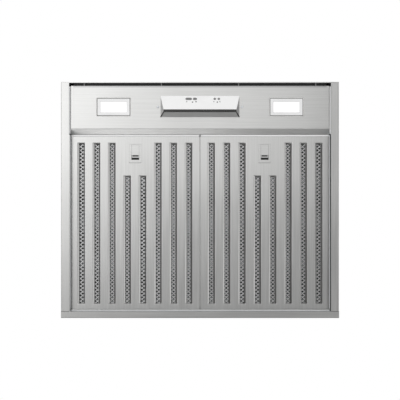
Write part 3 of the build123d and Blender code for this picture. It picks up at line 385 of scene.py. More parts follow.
# White polycarbonate lamp tray: plain and slightly warm.
LAMP_TRAY = Moulded("white_polycarbonate", "e4e3df", "f0efeb", (0.40, 0.50))
# Closed-cell foam tape: black, pitted and dull. The same black is also painted shade in the gap at the
# panel's front, round the lamp frames and on the right rail's lip.
BLACK_FOAM_AND_SHADE = Moulded("closed_cell_foam_and_painted_shade", "101010", "1e1e1e", (0.80, 0.92), grain_mm=1.6, bump=0.35)
# Silicone sponge seals: dull and almost white, so that the gaps they fill show light instead of shade:
# painted light.
PALE_SEAL = Moulded("silicone_sponge_and_painted_light", "e2e2e2", "eeeeee", (0.70, 0.82), grain_mm=1.6, bump=0.2)
# Cured silicone sealant: dark grey and dull.
DARK_SEALANT = Moulded("dark_silicone_sealant", "565656", "626262", (0.62, 0.74), bump=0.04)
# Motor shell in satin black enamel.
MOTOR_ENAMEL = Moulded("motor_enamel", "1c1d1f", "2c2d30", (0.30, 0.42), coat=0.3)
# Capacitor can in white polypropylene.
POLYPROPYLENE = Moulded("white_polypropylene", "d4d4d0", "e4e4e0", (0.36, 0.46))


# ---- mesh helpers
def soften(shape: BMesh, edges: list[BMEdge], width: float, steps: int = 1, clamp: bool = False) -> None:
    """Bevel edges.

    Args:
        shape: The mesh.
        edges: The edges to take off.
        width: How far the bevel reaches from them.
        steps: How many faces it has across.
        clamp: Whether bevels that meet stop there.
    """
    bmesh.ops.bevel(shape, geom=edges, offset=width, offset_type="OFFSET", segments=steps, profile=0.5,
                    affect="EDGES", material=-1, clamp_overlap=clamp)


def bar(low: Sequence[float], high: Sequence[float], softening: float = 0.2) -> BMesh:
    """Make a bar or thin strip.

    Args:
        low: Its lowest corner.
        high: Its highest corner.
        softening: How much of its thickness is taken off its edges.

    Returns:
        The closed bar, in place.
    """
    shape = bmesh.new()
    start, end = Vector(low), Vector(high)
    place = Matrix.Translation((start + end) / 2) @ Matrix.Diagonal((*(end - start), 1.0))
    bmesh.ops.create_cube(shape, size=1.0, matrix=place)
    if softening:
        soften(shape, shape.edges[:], min(end - start) * softening)
    return shape


def plate(x: Sequence[float], y: Sequence[float], z: float) -> BMesh:
    """Make one flat rectangular face that looks down.

    Args:
        x: Its reach along X.
        y: Its reach along Y.
        z: Its height.

    Returns:
        The face, in place.
    """
    shape = bmesh.new()
    size = Matrix.Diagonal((x[1] - x[0], y[1] - y[0], 1.0, 1.0))
    place = Matrix.Translation((sum(x) / 2, sum(y) / 2, z))
    bmesh.ops.create_grid(shape, x_segments=1, y_segments=1, size=0.5, matrix=place @ size)
    bmesh.ops.reverse_faces(shape, faces=shape.faces)
    return shape


def shift(shape: BMesh, geometry: Iterable, by: Sequence[float]) -> None:
    """Move the corners among some geometry.

    Args:
        shape: The mesh.
        geometry: Corners, and what else was made with them.
        by: How far along X, Y and Z.
    """
    corners = [part for part in geometry if isinstance(part, BMVert)]
    bmesh.ops.translate(shape, verts=corners, vec=by)


def for_side(shape: BMesh, side: Side) -> BMesh:
    """Turn a shape that was made for the right side into a side's own.

    Args:
        shape: The right side's mesh.
        side: The side that it is for.

    Returns:
        The mesh, mirrored for the left side, with its faces pointing out.
    """
    if side is Side.LEFT:
        bmesh.ops.scale(shape, vec=(-1.0, 1.0, 1.0), verts=shape.verts)
        bmesh.ops.reverse_faces(shape, faces=shape.faces)
    return shape


def faces_at(shape: BMesh, wanted: Callable[[Vector], bool]) -> list[BMFace]:
    """Find the faces whose middles pass a test."""
    return [face for face in shape.faces if wanted(face.calc_center_median())]


def open_up(shape: BMesh, faces: list[BMFace]) -> None:
    """Take faces away and leave their edges."""
    bmesh.ops.delete(shape, geom=faces, context="FACES_ONLY")


def hollow(shape: BMesh, faces: list[BMFace], width: float) -> None:
    """Turn faces into rings of a given width."""
    bmesh.ops.inset_individual(shape, faces=faces, thickness=width, use_even_offset=True)
    open_up(shape, faces)


def round_face(shape: BMesh, corners: int, place: Matrix) -> BMFace:
    """Add a face whose corners lie on the unit circle, moved by a matrix."""
    rim = bmesh.ops.create_circle(shape, cap_ends=True, radius=1.0, segments=corners, matrix=place)
    return rim["verts"][0].link_faces[0]


def new_piece(name: str, shape: BMesh, material: Material) -> Object:
    """Turn a finished bmesh into an object in the scene.

    Args:
        name: The object's name.
        shape: Its mesh, which is freed.
        material: Its material.

    Returns:
        The new object.
    """
    mesh = bpy.data.meshes.new(name)
    shape.to_mesh(mesh)
    shape.free()
    mesh.materials.append(material)
    piece = bpy.data.objects.new(name, mesh)
    bpy.context.scene.collection.objects.link(piece)
    return piece


# ---- sub-assemblies
class SubAssembly:
    """Pieces of the hood that are made and dressed together."""

    def dress(self, finish: Finish, *nodes: str) -> None:
        """Give CAD nodes their finish.

        Args:
            finish: The finish.
            nodes: Names of the nodes.
        """
        for name in nodes:
            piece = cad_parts[name]
            if not piece.material_slots:
                piece.data.materials.append(None)
            for place in piece.material_slots:
                place.material = finish.material()
            LOG.info("%s is finished in %s", name, finish.name)

    def add(self, name: str, shape: BMesh, finish: Finish, body: str, slot: str) -> Object:
        """Turn a finished bmesh into a piece of the hood.

        Args:
            name: The piece's name.
            shape: Its mesh, which is freed.
            finish: Its finish.
            body: The CAD body that it rides on.
            slot: The record's material slot for it. Not used.

        Returns:
            The new object.
        """
        piece = new_piece(name, shape, finish.material())
        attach(piece, body)
        LOG.info("%s rides on %s", name, body)
        return piece


class Canopy(SubAssembly):
    """The sheet-steel body: front, side and back walls, trim rails, roof and their fasteners."""

    def build(self) -> None:
        """Dress the walls, rails and fasteners."""
        self.dress(STEEL_ACROSS, "front_wall", "flange_back", "latch_rail", "filter_rail_back")
        self.dress(STEEL_ALONG, "flange_left", "flange_right")
        self.dress(ZINC_SHEET, "back_wall", "side_wall_left", "side_wall_right", "roof_panel")
        self.dress(ZINC_PLATE, "wall_rivets", "chassis_screws")


@dataclass
class ControlPanel(SubAssembly):
    """The front panel that carries the lamps and the controls, with its rolled side edges."""

    flat_half: float = 328.3 * MM
    edge_half: float = 336.3 * MM
    roll: float = 3.2 * MM
    roll_up: float = 3.6 * MM
    roll_steps: int = 6
    underside_z: float = -8.0 * MM
    reach_y: tuple[float, float] = (-295.6 * MM, -184.9 * MM)
    edge_sheet: float = 0.3 * MM
    tolerance: float = 0.1 * MM

    def build(self) -> None:
        """Dress the panel, its foam tape and its screws, and roll its side edges. The black foam tape is also
        painted shade in the gap at the panel's front.
        """
        self.dress(STEEL_ACROSS, "control_panel")
        # The foam's black also paints the shade of the deep gap at the panel's front.
        self.dress(BLACK_FOAM_AND_SHADE, "panel_gasket")
        self.dress(ZINC_PLATE, "panel_screws")
        for side in Side:
            self.add(f"panel_edge_{side.tag}", for_side(self.rolled_edge(), side), STEEL_ACROSS, "chassis",
                     "stainless_sheet")

    def rolled_edge(self) -> BMesh:
        """Make the sheet edge that rolls up beside the right side rail.

        Returns:
            The rolled edge with its thickness.
        """
        shape = plate((self.flat_half, self.edge_half), self.reach_y, self.underside_z)
        outer = [edge for edge in shape.edges
                 if all(corner.co.x > self.edge_half - self.tolerance for corner in edge.verts)]
        grown = bmesh.ops.extrude_edge_only(shape, edges=outer)["geom"]
        shift(shape, grown, (0.0, 0.0, self.roll_up))
        soften(shape, outer, self.roll, self.roll_steps)
        bmesh.ops.solidify(shape, geom=shape.faces[:], thickness=self.edge_sheet)
        return shape


@dataclass(frozen=True)
class Strip:
    """A thin strip in a joint: its corners in millimetres, on the right side if it has a mirrored twin."""

    name: str
    low: tuple[float, float, float]
    high: tuple[float, float, float]
    finish: Finish
    slot: str = "black_foam"
    body: str = "chassis"
    twin: bool = True


@dataclass
class Joints(SubAssembly):
    """Seals, joint lines and hems between the rails, the panel and the filters. The pale seals are painted
    light in the gaps; the dark hems and the right rail's black lip are painted shade.
    """

    strips: tuple[Strip, ...] = (
        # The pale seals light up the gaps that they fill: painted light.
        Strip("panel_side_seal", (336.7, -295.0, -5.4), (339.3, -172.0, -3.8), PALE_SEAL),
        Strip("filter_side_seal", (337.7, -169.5, 7.2), (339.3, 285.0, 8.8), PALE_SEAL),
        Strip("filter_front_seal", (1.6, -170.6, 7.4), (336.9, -166.5, 9.0), PALE_SEAL, body="filter"),
        Strip("meeting_strip", (-1.25, -165.0, 7.02), (0.95, 283.0, 8.2), STEEL_ALONG, "stainless_sheet",
              "filter_left", twin=False),
        Strip("rail_lip_left", (-339.45, -169.5, -7.9), (-337.5, 288.0, -7.3), STEEL_ALONG, "stainless_sheet",
              twin=False),
        # The right lip is black and the left one steel: painted shade on the right side's joint.
        Strip("rail_lip_shade_right", (337.5, -169.5, -7.9), (339.45, 288.0, -7.3), BLACK_FOAM_AND_SHADE, twin=False),
        # A pale strip over the gap behind the filters: painted highlight of the rail's front edge.
        Strip("hook_lip_highlight", (-339.3, 286.9, 3.4), (339.3, 288.7, 5.5), PALE_SEAL, twin=False),
        Strip("corner_joint", (339.6, 288.3, -8.05), (360.3, 289.3, -7.95), BLACK_FOAM_AND_SHADE),
        Strip("back_hem", (-360.4, 304.6, -8.04), (360.4, 305.9, -7.6), STEEL_HEM, "stainless_sheet",
              twin=False),
        Strip("rail_end_hem", (339.7, -305.9, -8.04), (360.3, -304.8, -7.6), STEEL_HEM, "stainless_sheet"),
        Strip("panel_front_hem", (-328.0, -295.7, -8.06), (328.0, -291.8, -7.96), STEEL_HEM,
              "stainless_sheet", twin=False),
        Strip("tab_pad_outer", (298.6, -303.6, -7.9), (301.4, -296.0, -7.55), DARK_SEALANT),
        Strip("tab_pad_inner", (98.6, -303.6, -7.9), (101.4, -296.0, -7.55), DARK_SEALANT))

    def build(self) -> None:
        """Lay every strip, on both sides if it has a twin."""
        for strip in self.strips:
            low, high = Vector(strip.low) * MM, Vector(strip.high) * MM
            if not strip.twin:
                self.add(strip.name, bar(low, high), strip.finish, strip.body, strip.slot)
                continue
            for side in Side:
                body = strip.body if strip.body == "chassis" else f"{strip.body}_{side.tag}"
                self.add(f"{strip.name}_{side.tag}", for_side(bar(low, high), side), strip.finish, body,
                         strip.slot)


@dataclass
class Lamp(SubAssembly):
    """One of the two LED lamps: frame, opal lens, tray, board, and a dark ring of painted shade round the
    frame.
    """

    side: Side
    shadow_ring_inset: float = 0.7 * MM
    shadow_ring_width: float = 1.1 * MM
    shadow_ring_proud: float = 0.12 * MM

    def build(self) -> None:
        """Dress the lamp's pieces."""
        tag = self.side.tag
        self.dress(LAMP_FRAME, f"lamp_bezel_{tag}")
        self.dress(OPAL, f"lamp_lens_{tag}")
        self.dress(LAMP_TRAY, f"lamp_body_{tag}")
        self.dress(BOARD, f"led_board_{tag}")
        # A dark ring round the lamp's frame: painted shade for the gap there.
        self.add(f"lamp_gasket_{tag}", self.gasket(), BLACK_FOAM_AND_SHADE, "chassis", "black_foam")

    def gasket(self) -> BMesh:
        """Make the thin dark ring that outlines the lamp's frame: painted shade for the gap round it.

        Returns:
            A rectangular ring round the frame's rim.
        """
        low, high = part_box(f"lamp_bezel_{self.side.tag}")
        inset = self.shadow_ring_inset
        shape = plate((low.x + inset, high.x - inset), (low.y + inset, high.y - inset),
                      low.z - self.shadow_ring_proud)
        hollow(shape, shape.faces[:], self.shadow_ring_width)
        bmesh.ops.solidify(shape, geom=shape.faces[:], thickness=self.shadow_ring_proud)
        return shape


class Pictogram(Enum):
    """Generic signs printed by the keys, by what the key does."""

    FAN = "fan"
    TIMER = "timer"
    LIGHT = "light"
    WINDOW = "window"


@dataclass(frozen=True)
class Mark:
    """Part of a printed sign, repeated about the sign's middle. Its sizes are in millimetres.

    It is a round spot, or a ring if it has a stroke, or a rectangle if it has four corners.
    """

    half_x: float
    half_y: float
    corners: int = 4
    out: float = 0.0
    times: int = 1
    turn: float = 0.0
    stroke: float = 0.0

    def draw(self, shape: BMesh) -> None:
        """Add the mark to a sign that lies flat about the origin.

        Args:
            shape: The sign's mesh.
        """
        size = Matrix.Diagonal((self.half_x * MM, self.half_y * MM, 1.0, 1.0))
        for number in range(self.times):
            turn = Matrix.Rotation(self.turn + number * math.tau / self.times, 4, "Z")
            place = turn @ Matrix.Translation((0.0, self.out * MM, 0.0)) @ size
            if self.corners == 4:
                bmesh.ops.create_grid(shape, x_segments=1, y_segments=1, size=1.0, matrix=place)
                continue
            disc = round_face(shape, self.corners, place)
            if self.stroke:
                hollow(shape, [disc], self.stroke * MM)


# Hub and three blades; a ring with two hands; a bulb with six rays; the window of an indicator light.
MARKS: dict[Pictogram, tuple[Mark, ...]] = {
    Pictogram.FAN: (Mark(0.575, 0.575, 10), Mark(0.6624, 0.828, 12, out=1.426, times=3)),
    Pictogram.TIMER: (Mark(2.3, 2.3, 24, stroke=0.9), Mark(0.36, 0.759, out=0.759),
                      Mark(0.36, 0.575, out=0.575, turn=-math.pi / 2)),
    Pictogram.LIGHT: (Mark(0.966, 0.966, 14), Mark(0.324, 0.46, out=1.886, times=6)),
    Pictogram.WINDOW: (Mark(1.84, 1.84, 20),)}


@dataclass
class ControlHousing(SubAssembly):
    """The wedge under the panel with its white face, four keys, printed signs and boards."""

    face_front_y: float = -269.7 * MM
    face_front_z: float = -8.0 * MM
    face_drop: float = 20.0 * MM
    face_run: float = 37.1 * MM
    hip_top: tuple[float, float, float] = (93.0 * MM, -225.6 * MM, -28.0 * MM)
    hip_foot: tuple[float, float, float] = (102.0 * MM, -214.7 * MM, -8.0 * MM)
    hip_width: float = 2.6 * MM
    hip_proud: float = 0.35 * MM
    ink: float = 0.04 * MM
    signs: tuple[tuple[Pictogram, float, float], ...] = (
        (Pictogram.FAN, -34.2 * MM, 18.6 * MM), (Pictogram.WINDOW, -19.2 * MM, 19.9 * MM),
        (Pictogram.TIMER, -10.4 * MM, 18.6 * MM), (Pictogram.LIGHT, 35.6 * MM, 18.6 * MM),
        (Pictogram.WINDOW, 44.6 * MM, 19.9 * MM), (Pictogram.LIGHT, 51.2 * MM, 18.6 * MM))

    def build(self) -> None:
        """Dress the housing and print the signs."""
        self.dress(WHITE_ABS, "control_fascia")
        self.dress(SILVER_PAINT, "control_housing")
        # The ridge strip's black is painted shade under the ridge.
        self.dress(BLACK_NYLON_AND_SHADE, "ridge_strip", "control_box")
        self.dress(KEY_RUBBER, "fan_speed_key", "timer_key", "light_key_high", "light_key_low")
        self.dress(BOARD, "control_board", "power_board")
        for side in Side:
            # Black strips down the wedge's rear corners: painted shade.
            self.add(f"hip_strip_{side.tag}", for_side(self.hip_strip(), side), BLACK_NYLON_AND_SHADE, "chassis",
                     "black_plastic")
        for number, (sign, x, run) in enumerate(self.signs):
            finish = BLACK_NYLON_AND_SHADE if sign is Pictogram.WINDOW else PRINTED_INK
            self.add(f"sign_{number}_{sign.value}", self.printed(sign, x, run), finish, "chassis", "key_grey")

    def hip_strip(self) -> BMesh:
        """Make the black strip down the wedge's right rear corner, from the ridge to the panel: painted shade
        along that corner.

        Returns:
            The strip, a little proud of the corner.
        """
        top, foot = Vector(self.hip_top), Vector(self.hip_foot)
        run = foot - top
        half = self.hip_width / 2
        shape = bar((-half, 0.0, -self.hip_proud), (half, run.length, self.hip_proud))
        turn = run.to_track_quat("Y", "Z").to_matrix().to_4x4()
        bmesh.ops.transform(shape, matrix=Matrix.Translation(top) @ turn, verts=shape.verts)
        return shape

    def printed(self, sign: Pictogram, x: float, run: float) -> BMesh:
        """Make one printed sign on the face.

        Args:
            sign: Which sign.
            x: Its place along the face.
            run: How far down the slope it is.

        Returns:
            The sign as a thin closed mesh, in place.
        """
        shape = bmesh.new()
        for mark in MARKS[sign]:
            mark.draw(shape)
        grown = bmesh.ops.extrude_face_region(shape, geom=shape.faces[:])["geom"]
        shift(shape, grown, (0.0, 0.0, self.ink))
        bmesh.ops.recalc_face_normals(shape, faces=shape.faces)
        tilt = math.atan2(self.face_drop, self.face_run)
        place = (x, self.face_front_y + run * math.cos(tilt), self.face_front_z - run * math.sin(tilt))
        onto_face = Matrix.Translation(place) @ Matrix.Rotation(math.pi - tilt, 4, "X")
        bmesh.ops.transform(shape, matrix=onto_face, verts=shape.verts)
        return shape


@dataclass
class ExpandedLayer:
    """One layer of slit and stretched sheet: diamonds whose strands lean over."""

    pitch_x: float
    pitch_y: float
    strand: float
    lean: float
    thickness: float = 0.35 * MM
    weld: float = 0.01 * MM

    def mesh(self, low: Vector, high: Vector, z: float) -> BMesh:
        """Fill a rectangle with diamonds.

        Args:
            low: Lowest corner of the rectangle.
            high: Highest corner.
            z: Height of the layer's middle.

        Returns:
            The layer, one face thick.
        """
        across = round((high.x - low.x) / self.pitch_x)
        along = round((high.y - low.y) / self.pitch_y)
        step = Vector(((high.x - low.x) / across, (high.y - low.y) / along, 0.0))
        shape = bmesh.new()
        cell = self.diamond(shape, step)
        for axis, count in ((0, across), (1, along)):
            cell = self.repeat(shape, cell, axis, step, count)
        bmesh.ops.translate(shape, verts=shape.verts, vec=(low.x + step.x / 2, low.y + step.y / 2, z))
        bmesh.ops.remove_doubles(shape, verts=shape.verts, dist=self.weld)
        for normal in ((1.0, 0.0, 0.0), (0.0, 1.0, 0.0)):
            everything = shape.verts[:] + shape.edges[:] + shape.faces[:]
            bmesh.ops.bisect_plane(shape, geom=everything, plane_co=high, plane_no=normal, clear_outer=True)
        return shape

    def diamond(self, shape: BMesh, step: Vector) -> list:
        """Add one diamond ring and the one that fills its corner.

        Args:
            shape: The mesh.
            step: The pitch along X and Y.

        Returns:
            All their geometry.
        """
        size = Matrix.Diagonal((step.x / 2, step.y / 2, 1.0, 1.0))
        for x, y in ((0.0, 0.0), (step.x / 2, step.y / 2)):
            hole = round_face(shape, 4, Matrix.Translation((x, y, 0.0)) @ size)
            bmesh.ops.inset_individual(shape, faces=[hole], thickness=self.strand / 2, use_even_offset=True)
            for corner in hole.verts:
                rise = corner.co.y - y
                corner.co.z = math.copysign(self.lean, rise) if abs(rise) > self.strand / 2 else 0.0
            open_up(shape, [hole])
        return shape.verts[:] + shape.edges[:] + shape.faces[:]

    def repeat(self, shape: BMesh, cell: list, axis: int, step: Vector, count: int) -> list:
        """Copy geometry in a row.

        Args:
            shape: The mesh.
            cell: What to copy.
            axis: 0 for a row along X, 1 along Y.
            step: The pitch along X and Y.
            count: How many there are in the end.

        Returns:
            The row's geometry.
        """
        row = list(cell)
        for number in range(1, count):
            copy = bmesh.ops.duplicate(shape, geom=cell)["geom"]
            move = Vector()
            move[axis] = number * step[axis]
            shift(shape, copy, move)
            row += copy
        return row


@dataclass(frozen=True)
class LipStep:
    """One step of a slot's lip: how far it runs in from each of the slot's edges, and its depth."""

    shallow: float
    steep: float
    front: float
    rear: float
    depth: float


@dataclass
class PressedSheet:
    """The filter's pressed front sheet, drawn on the hood's right side: rim, lipped slots, rolled bead.

    The slots are set from the photograph. Each has one shallow lip, which catches the light, and
    steep ones that stay dark.
    """

    low: Vector
    high: Vector
    shallow: Side
    sheet: float = 0.8 * MM
    bead: float = 3.0 * MM
    slot_count: int = 8
    slot_pitch: float = 40.2 * MM
    slot_shift: float = 1.1 * MM
    slot_width: float = 19.6 * MM
    slot_front: float = 16.6 * MM
    short_front: float = 102.4 * MM
    slot_rear: float = 12.9 * MM
    lip_steps: tuple[LipStep, ...] = (
        LipStep(4.2 * MM, 2.1 * MM, 1.9 * MM, 0.5 * MM, 3.2 * MM),
        LipStep(4.4 * MM, 4.2 * MM, 3.8 * MM, 1.0 * MM, 6.2 * MM))
    nudge: float = 0.2 * MM
    bend: float = 0.7 * MM
    bend_steps: int = 2
    fold_angle: float = math.radians(20)
    bead_sides: int = 24
    latch_half: float = 15.7 * MM
    latch_reach: tuple[float, float] = (20.0 * MM, 69.6 * MM)
    latch_zone: float = 28.14 * MM
    tongue_half: float = 7.4 * MM
    tongue_heights: tuple[float, float] = (4.6 * MM, 6.8 * MM)

    def __post_init__(self) -> None:
        """Work out the places that the sizes give."""
        self.middle = (self.low.x + self.high.x) / 2
        self.rear = self.high.y - self.bead
        first = self.middle + self.slot_shift - self.slot_pitch * (self.slot_count - 1) / 2
        self.slots = [first + number * self.slot_pitch for number in range(self.slot_count)]
        self.latch_y = [self.low.y + reach for reach in self.latch_reach]

    def cut(self, shape: BMesh, axis: int, places: Iterable[float],
            near: tuple[Sequence[float], Sequence[float]] | None = None) -> None:
        """Cut the mesh across at several places.

        Args:
            shape: The mesh.
            axis: 0 to cut across X, 1 across Y, 2 across Z.
            places: Where.
            near: The reach along X and Y of the faces to cut, or nothing for all of them.
        """
        normal = Vector()
        normal[axis] = 1.0
        for place in places:
            faces = self.inside(shape, *near) if near else shape.faces[:]
            edges = {edge for face in faces for edge in face.edges}
            corners = {corner for face in faces for corner in face.verts}
            bmesh.ops.bisect_plane(shape, geom=[*corners, *edges, *faces], plane_co=normal * place,
                                   plane_no=normal)

    def inside(self, shape: BMesh, x: Sequence[float], y: Sequence[float]) -> list[BMFace]:
        """Find the faces whose middles are in a rectangle, given by its reach along X and Y."""
        return faces_at(shape, lambda middle: x[0] < middle.x < x[1] and y[0] < middle.y < y[1])

    def mesh(self) -> BMesh:
        """Cut, press and fold the sheet.

        Returns:
            The sheet with its thickness and its bead.
        """
        shape = plate((self.low.x, self.high.x), (self.low.y, self.rear), self.low.z)
        half = self.slot_width / 2
        self.cut(shape, 0, [x + side * half for x in self.slots for side in (-1, 1)])
        slot_end = self.rear - self.slot_rear
        short_start = self.low.y + self.short_front
        self.cut(shape, 1, [self.low.y + self.slot_front, short_start, slot_end])
        zone = (self.middle - self.latch_zone, self.middle + self.latch_zone)
        self.cut(shape, 1, self.latch_y, (zone, (self.low.y, short_start)))
        sides = [self.middle + side * reach for side in (-1, 1)
                 for reach in (self.latch_half, self.tongue_half)]
        self.cut(shape, 0, sides, (zone, (self.low.y, self.latch_y[1])))
        self.fold_rim(shape)
        for x in self.slots:
            # The two slots behind the latch are short.
            behind_latch = abs(x - self.middle) < self.latch_half + half
            start = short_start if behind_latch else self.low.y + self.slot_front
            self.press_slot(shape, (x - half, x + half), (start, slot_end))
        opening = (self.middle - self.latch_half, self.middle + self.latch_half)
        open_up(shape, self.inside(shape, opening, self.latch_y))
        self.round_bends(shape)
        bmesh.ops.solidify(shape, geom=shape.faces[:], thickness=self.sheet)
        self.roll_bead(shape)
        return shape

    def press_slot(self, shape: BMesh, x: tuple[float, float], y: tuple[float, float]) -> None:
        """Press one slot: its edges slope inwards all round, in two steps.

        Args:
            shape: The mesh.
            x: The slot's reach along X.
            y: Its reach along Y.
        """
        parts = self.inside(shape, x, y)
        whole = parts[0] if len(parts) == 1 else bmesh.ops.dissolve_faces(shape, faces=parts)["region"][0]
        rect = [x[0], x[1], y[0], y[1]]
        for step in self.lip_steps:
            left, right = step.shallow, step.steep
            if self.shallow is Side.RIGHT:
                left, right = right, left
            grown = [x[0] + left, x[1] - right, y[0] + step.front, y[1] - step.rear]
            # A small inset makes the step's corners, and each then moves to where the step ends.
            bmesh.ops.inset_individual(shape, faces=[whole], thickness=self.nudge, use_even_offset=True)
            for corner in whole.verts:
                for axis in (0, 1):
                    for place, inwards in ((2 * axis, 1), (2 * axis + 1, -1)):
                        if abs(corner.co[axis] - rect[place] - inwards * self.nudge) < self.nudge / 2:
                            corner.co[axis] = grown[place]
                            break
                corner.co.z = self.low.z + step.depth
            rect = grown
        open_up(shape, [whole])

    def fold_rim(self, shape: BMesh) -> None:
        """Fold the rim up and leave the tongue its window in the front wall.

        Args:
            shape: The flat sheet.
        """
        rim = [edge for edge in shape.edges if len(edge.link_faces) == 1]
        grown = bmesh.ops.extrude_edge_only(shape, edges=rim)["geom"]
        shift(shape, grown, (0.0, 0.0, self.high.z - self.low.z))
        heights = [self.low.z + height for height in self.tongue_heights]
        self.cut(shape, 2, heights)
        open_up(shape, faces_at(shape, lambda middle: (
            abs(middle.y - self.low.y) < self.sheet and abs(middle.x - self.middle) < self.tongue_half
            and heights[0] < middle.z < heights[1])))

    def round_bends(self, shape: BMesh) -> None:
        """Round every fold in the sheet, so that it catches a line of light.

        Args:
            shape: The folded sheet.
        """
        folds = [edge for edge in shape.edges
                 if len(edge.link_faces) == 2 and edge.calc_face_angle() > self.fold_angle]
        soften(shape, folds, self.bend, self.bend_steps, clamp=True)

    def roll_bead(self, shape: BMesh) -> None:
        """Add the rolled bead that the filter swings on.

        Args:
            shape: The mesh.
        """
        middle = Matrix.Translation((self.middle, self.rear, self.low.z + self.bead))
        bmesh.ops.create_cone(shape, cap_ends=True, segments=self.bead_sides, radius1=self.bead,
                              radius2=self.bead, depth=self.high.x - self.low.x,
                              matrix=middle @ Matrix.Rotation(math.pi / 2, 4, "Y"))


@dataclass
class GreaseFilter(SubAssembly):
    """One grease filter: slotted face, layered aluminium mesh, back sheet and latch."""

    side: Side
    edge: float = 0.6 * MM
    liner_gap: float = 0.1 * MM
    liner: float = 0.2 * MM
    latch_wall: float = 1.2 * MM
    latch_floor: float = 0.9 * MM
    latch_clearance: float = 1.5 * MM
    # The real diamonds are about 8 x 7 mm. The front ones are drawn coarser, to show from afar.
    layers: tuple[tuple[ExpandedLayer, float, Finish], ...] = (
        (ExpandedLayer(11.2 * MM, 9.8 * MM, 2.2 * MM, 0.2 * MM), 7.3 * MM, EXPANDED_ALUMINIUM),
        # The deep layer's near-black is painted shade inside the pack.
        (ExpandedLayer(11.0 * MM, 9.0 * MM, 4.2 * MM, 0.4 * MM), 10.0 * MM, DEEP_MESH_SHADE))

    def build(self) -> None:
        """Dress the filter and put its pressed sheet and mesh layers in place of the plain ones."""
        tag = self.side.tag
        self.dress(STEEL_ACROSS, f"latch_housing_{tag}", f"latch_slide_{tag}")
        self.dress(ZINC_SHEET, f"filter_back_{tag}")
        # The sheet is made as the right side's. On both sides the shallow lips end up on the left.
        low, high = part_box("filter_face_right")
        shallow = Side.LEFT if self.side is Side.RIGHT else Side.RIGHT
        sheet = for_side(PressedSheet(low, high, shallow).mesh(), self.side)
        face = self.add(f"pressed_sheet_{tag}", sheet, STEEL_ALONG, f"filter_{tag}", "stainless_sheet")
        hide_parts(f"filter_face_{tag}")
        low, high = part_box(f"filter_mesh_{tag}")
        margin = Vector((self.edge, self.edge, 0.0))
        face_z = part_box(f"filter_face_{tag}")[0].z
        for number, (layer, height, finish) in enumerate(self.layers):
            shape = layer.mesh(low + margin, high - margin, face_z + height)
            self.clear_latch(shape)
            piece = self.add(f"expanded_mesh_{tag}_{number}", shape, finish, f"filter_{tag}",
                             "aluminium_mesh")
            wall = piece.modifiers.new("thickness", "SOLIDIFY")
            wall.thickness = layer.thickness
            wall.offset = 0.0
            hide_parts(f"filter_mesh_{tag}")
        self.line_latch()

    def clear_latch(self, shape: BMesh) -> None:
        """Cut a layer out round the latch cup and its tongue.

        Args:
            shape: The layer's mesh.
        """
        low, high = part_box(f"latch_housing_{self.side.tag}")
        start, end = low.x - self.latch_clearance, high.x + self.latch_clearance
        rear = high.y + self.latch_clearance
        covered = faces_at(shape, lambda middle: start < middle.x < end and middle.y < rear)
        bmesh.ops.delete(shape, geom=covered, context="FACES")

    def line_latch(self) -> None:
        """Line the latch cup with a thin black sheet, which is what shows through the finger opening: painted
        shade in the cup.
        """
        tag = self.side.tag
        low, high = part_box(f"latch_housing_{tag}")
        inset = self.latch_wall + self.liner_gap
        top = high.z - self.latch_floor - self.liner_gap
        shape = bar((low.x + inset, low.y + inset, top - self.liner),
                    (high.x - inset, high.y - inset, top), 0.0)
        self.add(f"latch_liner_{tag}", shape, BLACK_NYLON_AND_SHADE, f"filter_{tag}", "black_plastic")


class Blower(SubAssembly):
    """The centrifugal blower in its chamber: scroll, wheel, motor and capacitor."""

    def build(self) -> None:
        """Dress the blower's pieces."""
        self.dress(ZINC_SHEET, "scroll_side_left", "scroll_side_right", "scroll_wrapper", "blower_chamber",
                   "chamber_lid", "impeller", "motor_bracket")
        self.dress(MOTOR_ENAMEL, "motor")
        self.dress(ZINC_PLATE, "motor_shaft")
        self.dress(POLYPROPYLENE, "run_capacitor")


class Outlet(SubAssembly):
    """The duct collar on top with its two back-draught flaps."""

    def build(self) -> None:
        """Dress the outlet."""
        self.dress(ZINC_SHEET, "outlet_transition", "duct_collar")
        self.dress(ZINC_PLATE, "damper_rod")
        self.dress(MILL_ALUMINIUM, "damper_flap_front", "damper_flap_rear")


class JunctionBox(SubAssembly):
    """The wiring box on the roof."""

    def build(self) -> None:
        """Dress the box and its cover."""
        self.dress(ZINC_SHEET, "junction_box", "junction_box_cover")


# ---- studio
@dataclass
class Softbox:
    """A soft rectangular light that the camera doesn't see."""

    name: str
    place: tuple[float, float, float]
    aim: tuple[float, float, float]
    size: tuple[float, float]
    radiance: float

    def hang(self) -> None:
        """Put the light in the scene, with the power that its size and radiance ask for."""
        light = bpy.data.lights.new(self.name, "AREA")
        light.shape = "RECTANGLE"
        light.size, light.size_y = self.size
        light.energy = self.radiance * math.pi * self.size[0] * self.size[1]
        lamp = bpy.data.objects.new(self.name, light)
        bpy.context.scene.collection.objects.link(lamp)
        lamp.location = self.place
        lamp.rotation_euler = (Vector(self.aim) - Vector(self.place)).to_track_quat("-Z", "Y").to_euler()
        lamp.visible_camera = False
        LOG.info("%s hangs at %s", self.name, self.place)


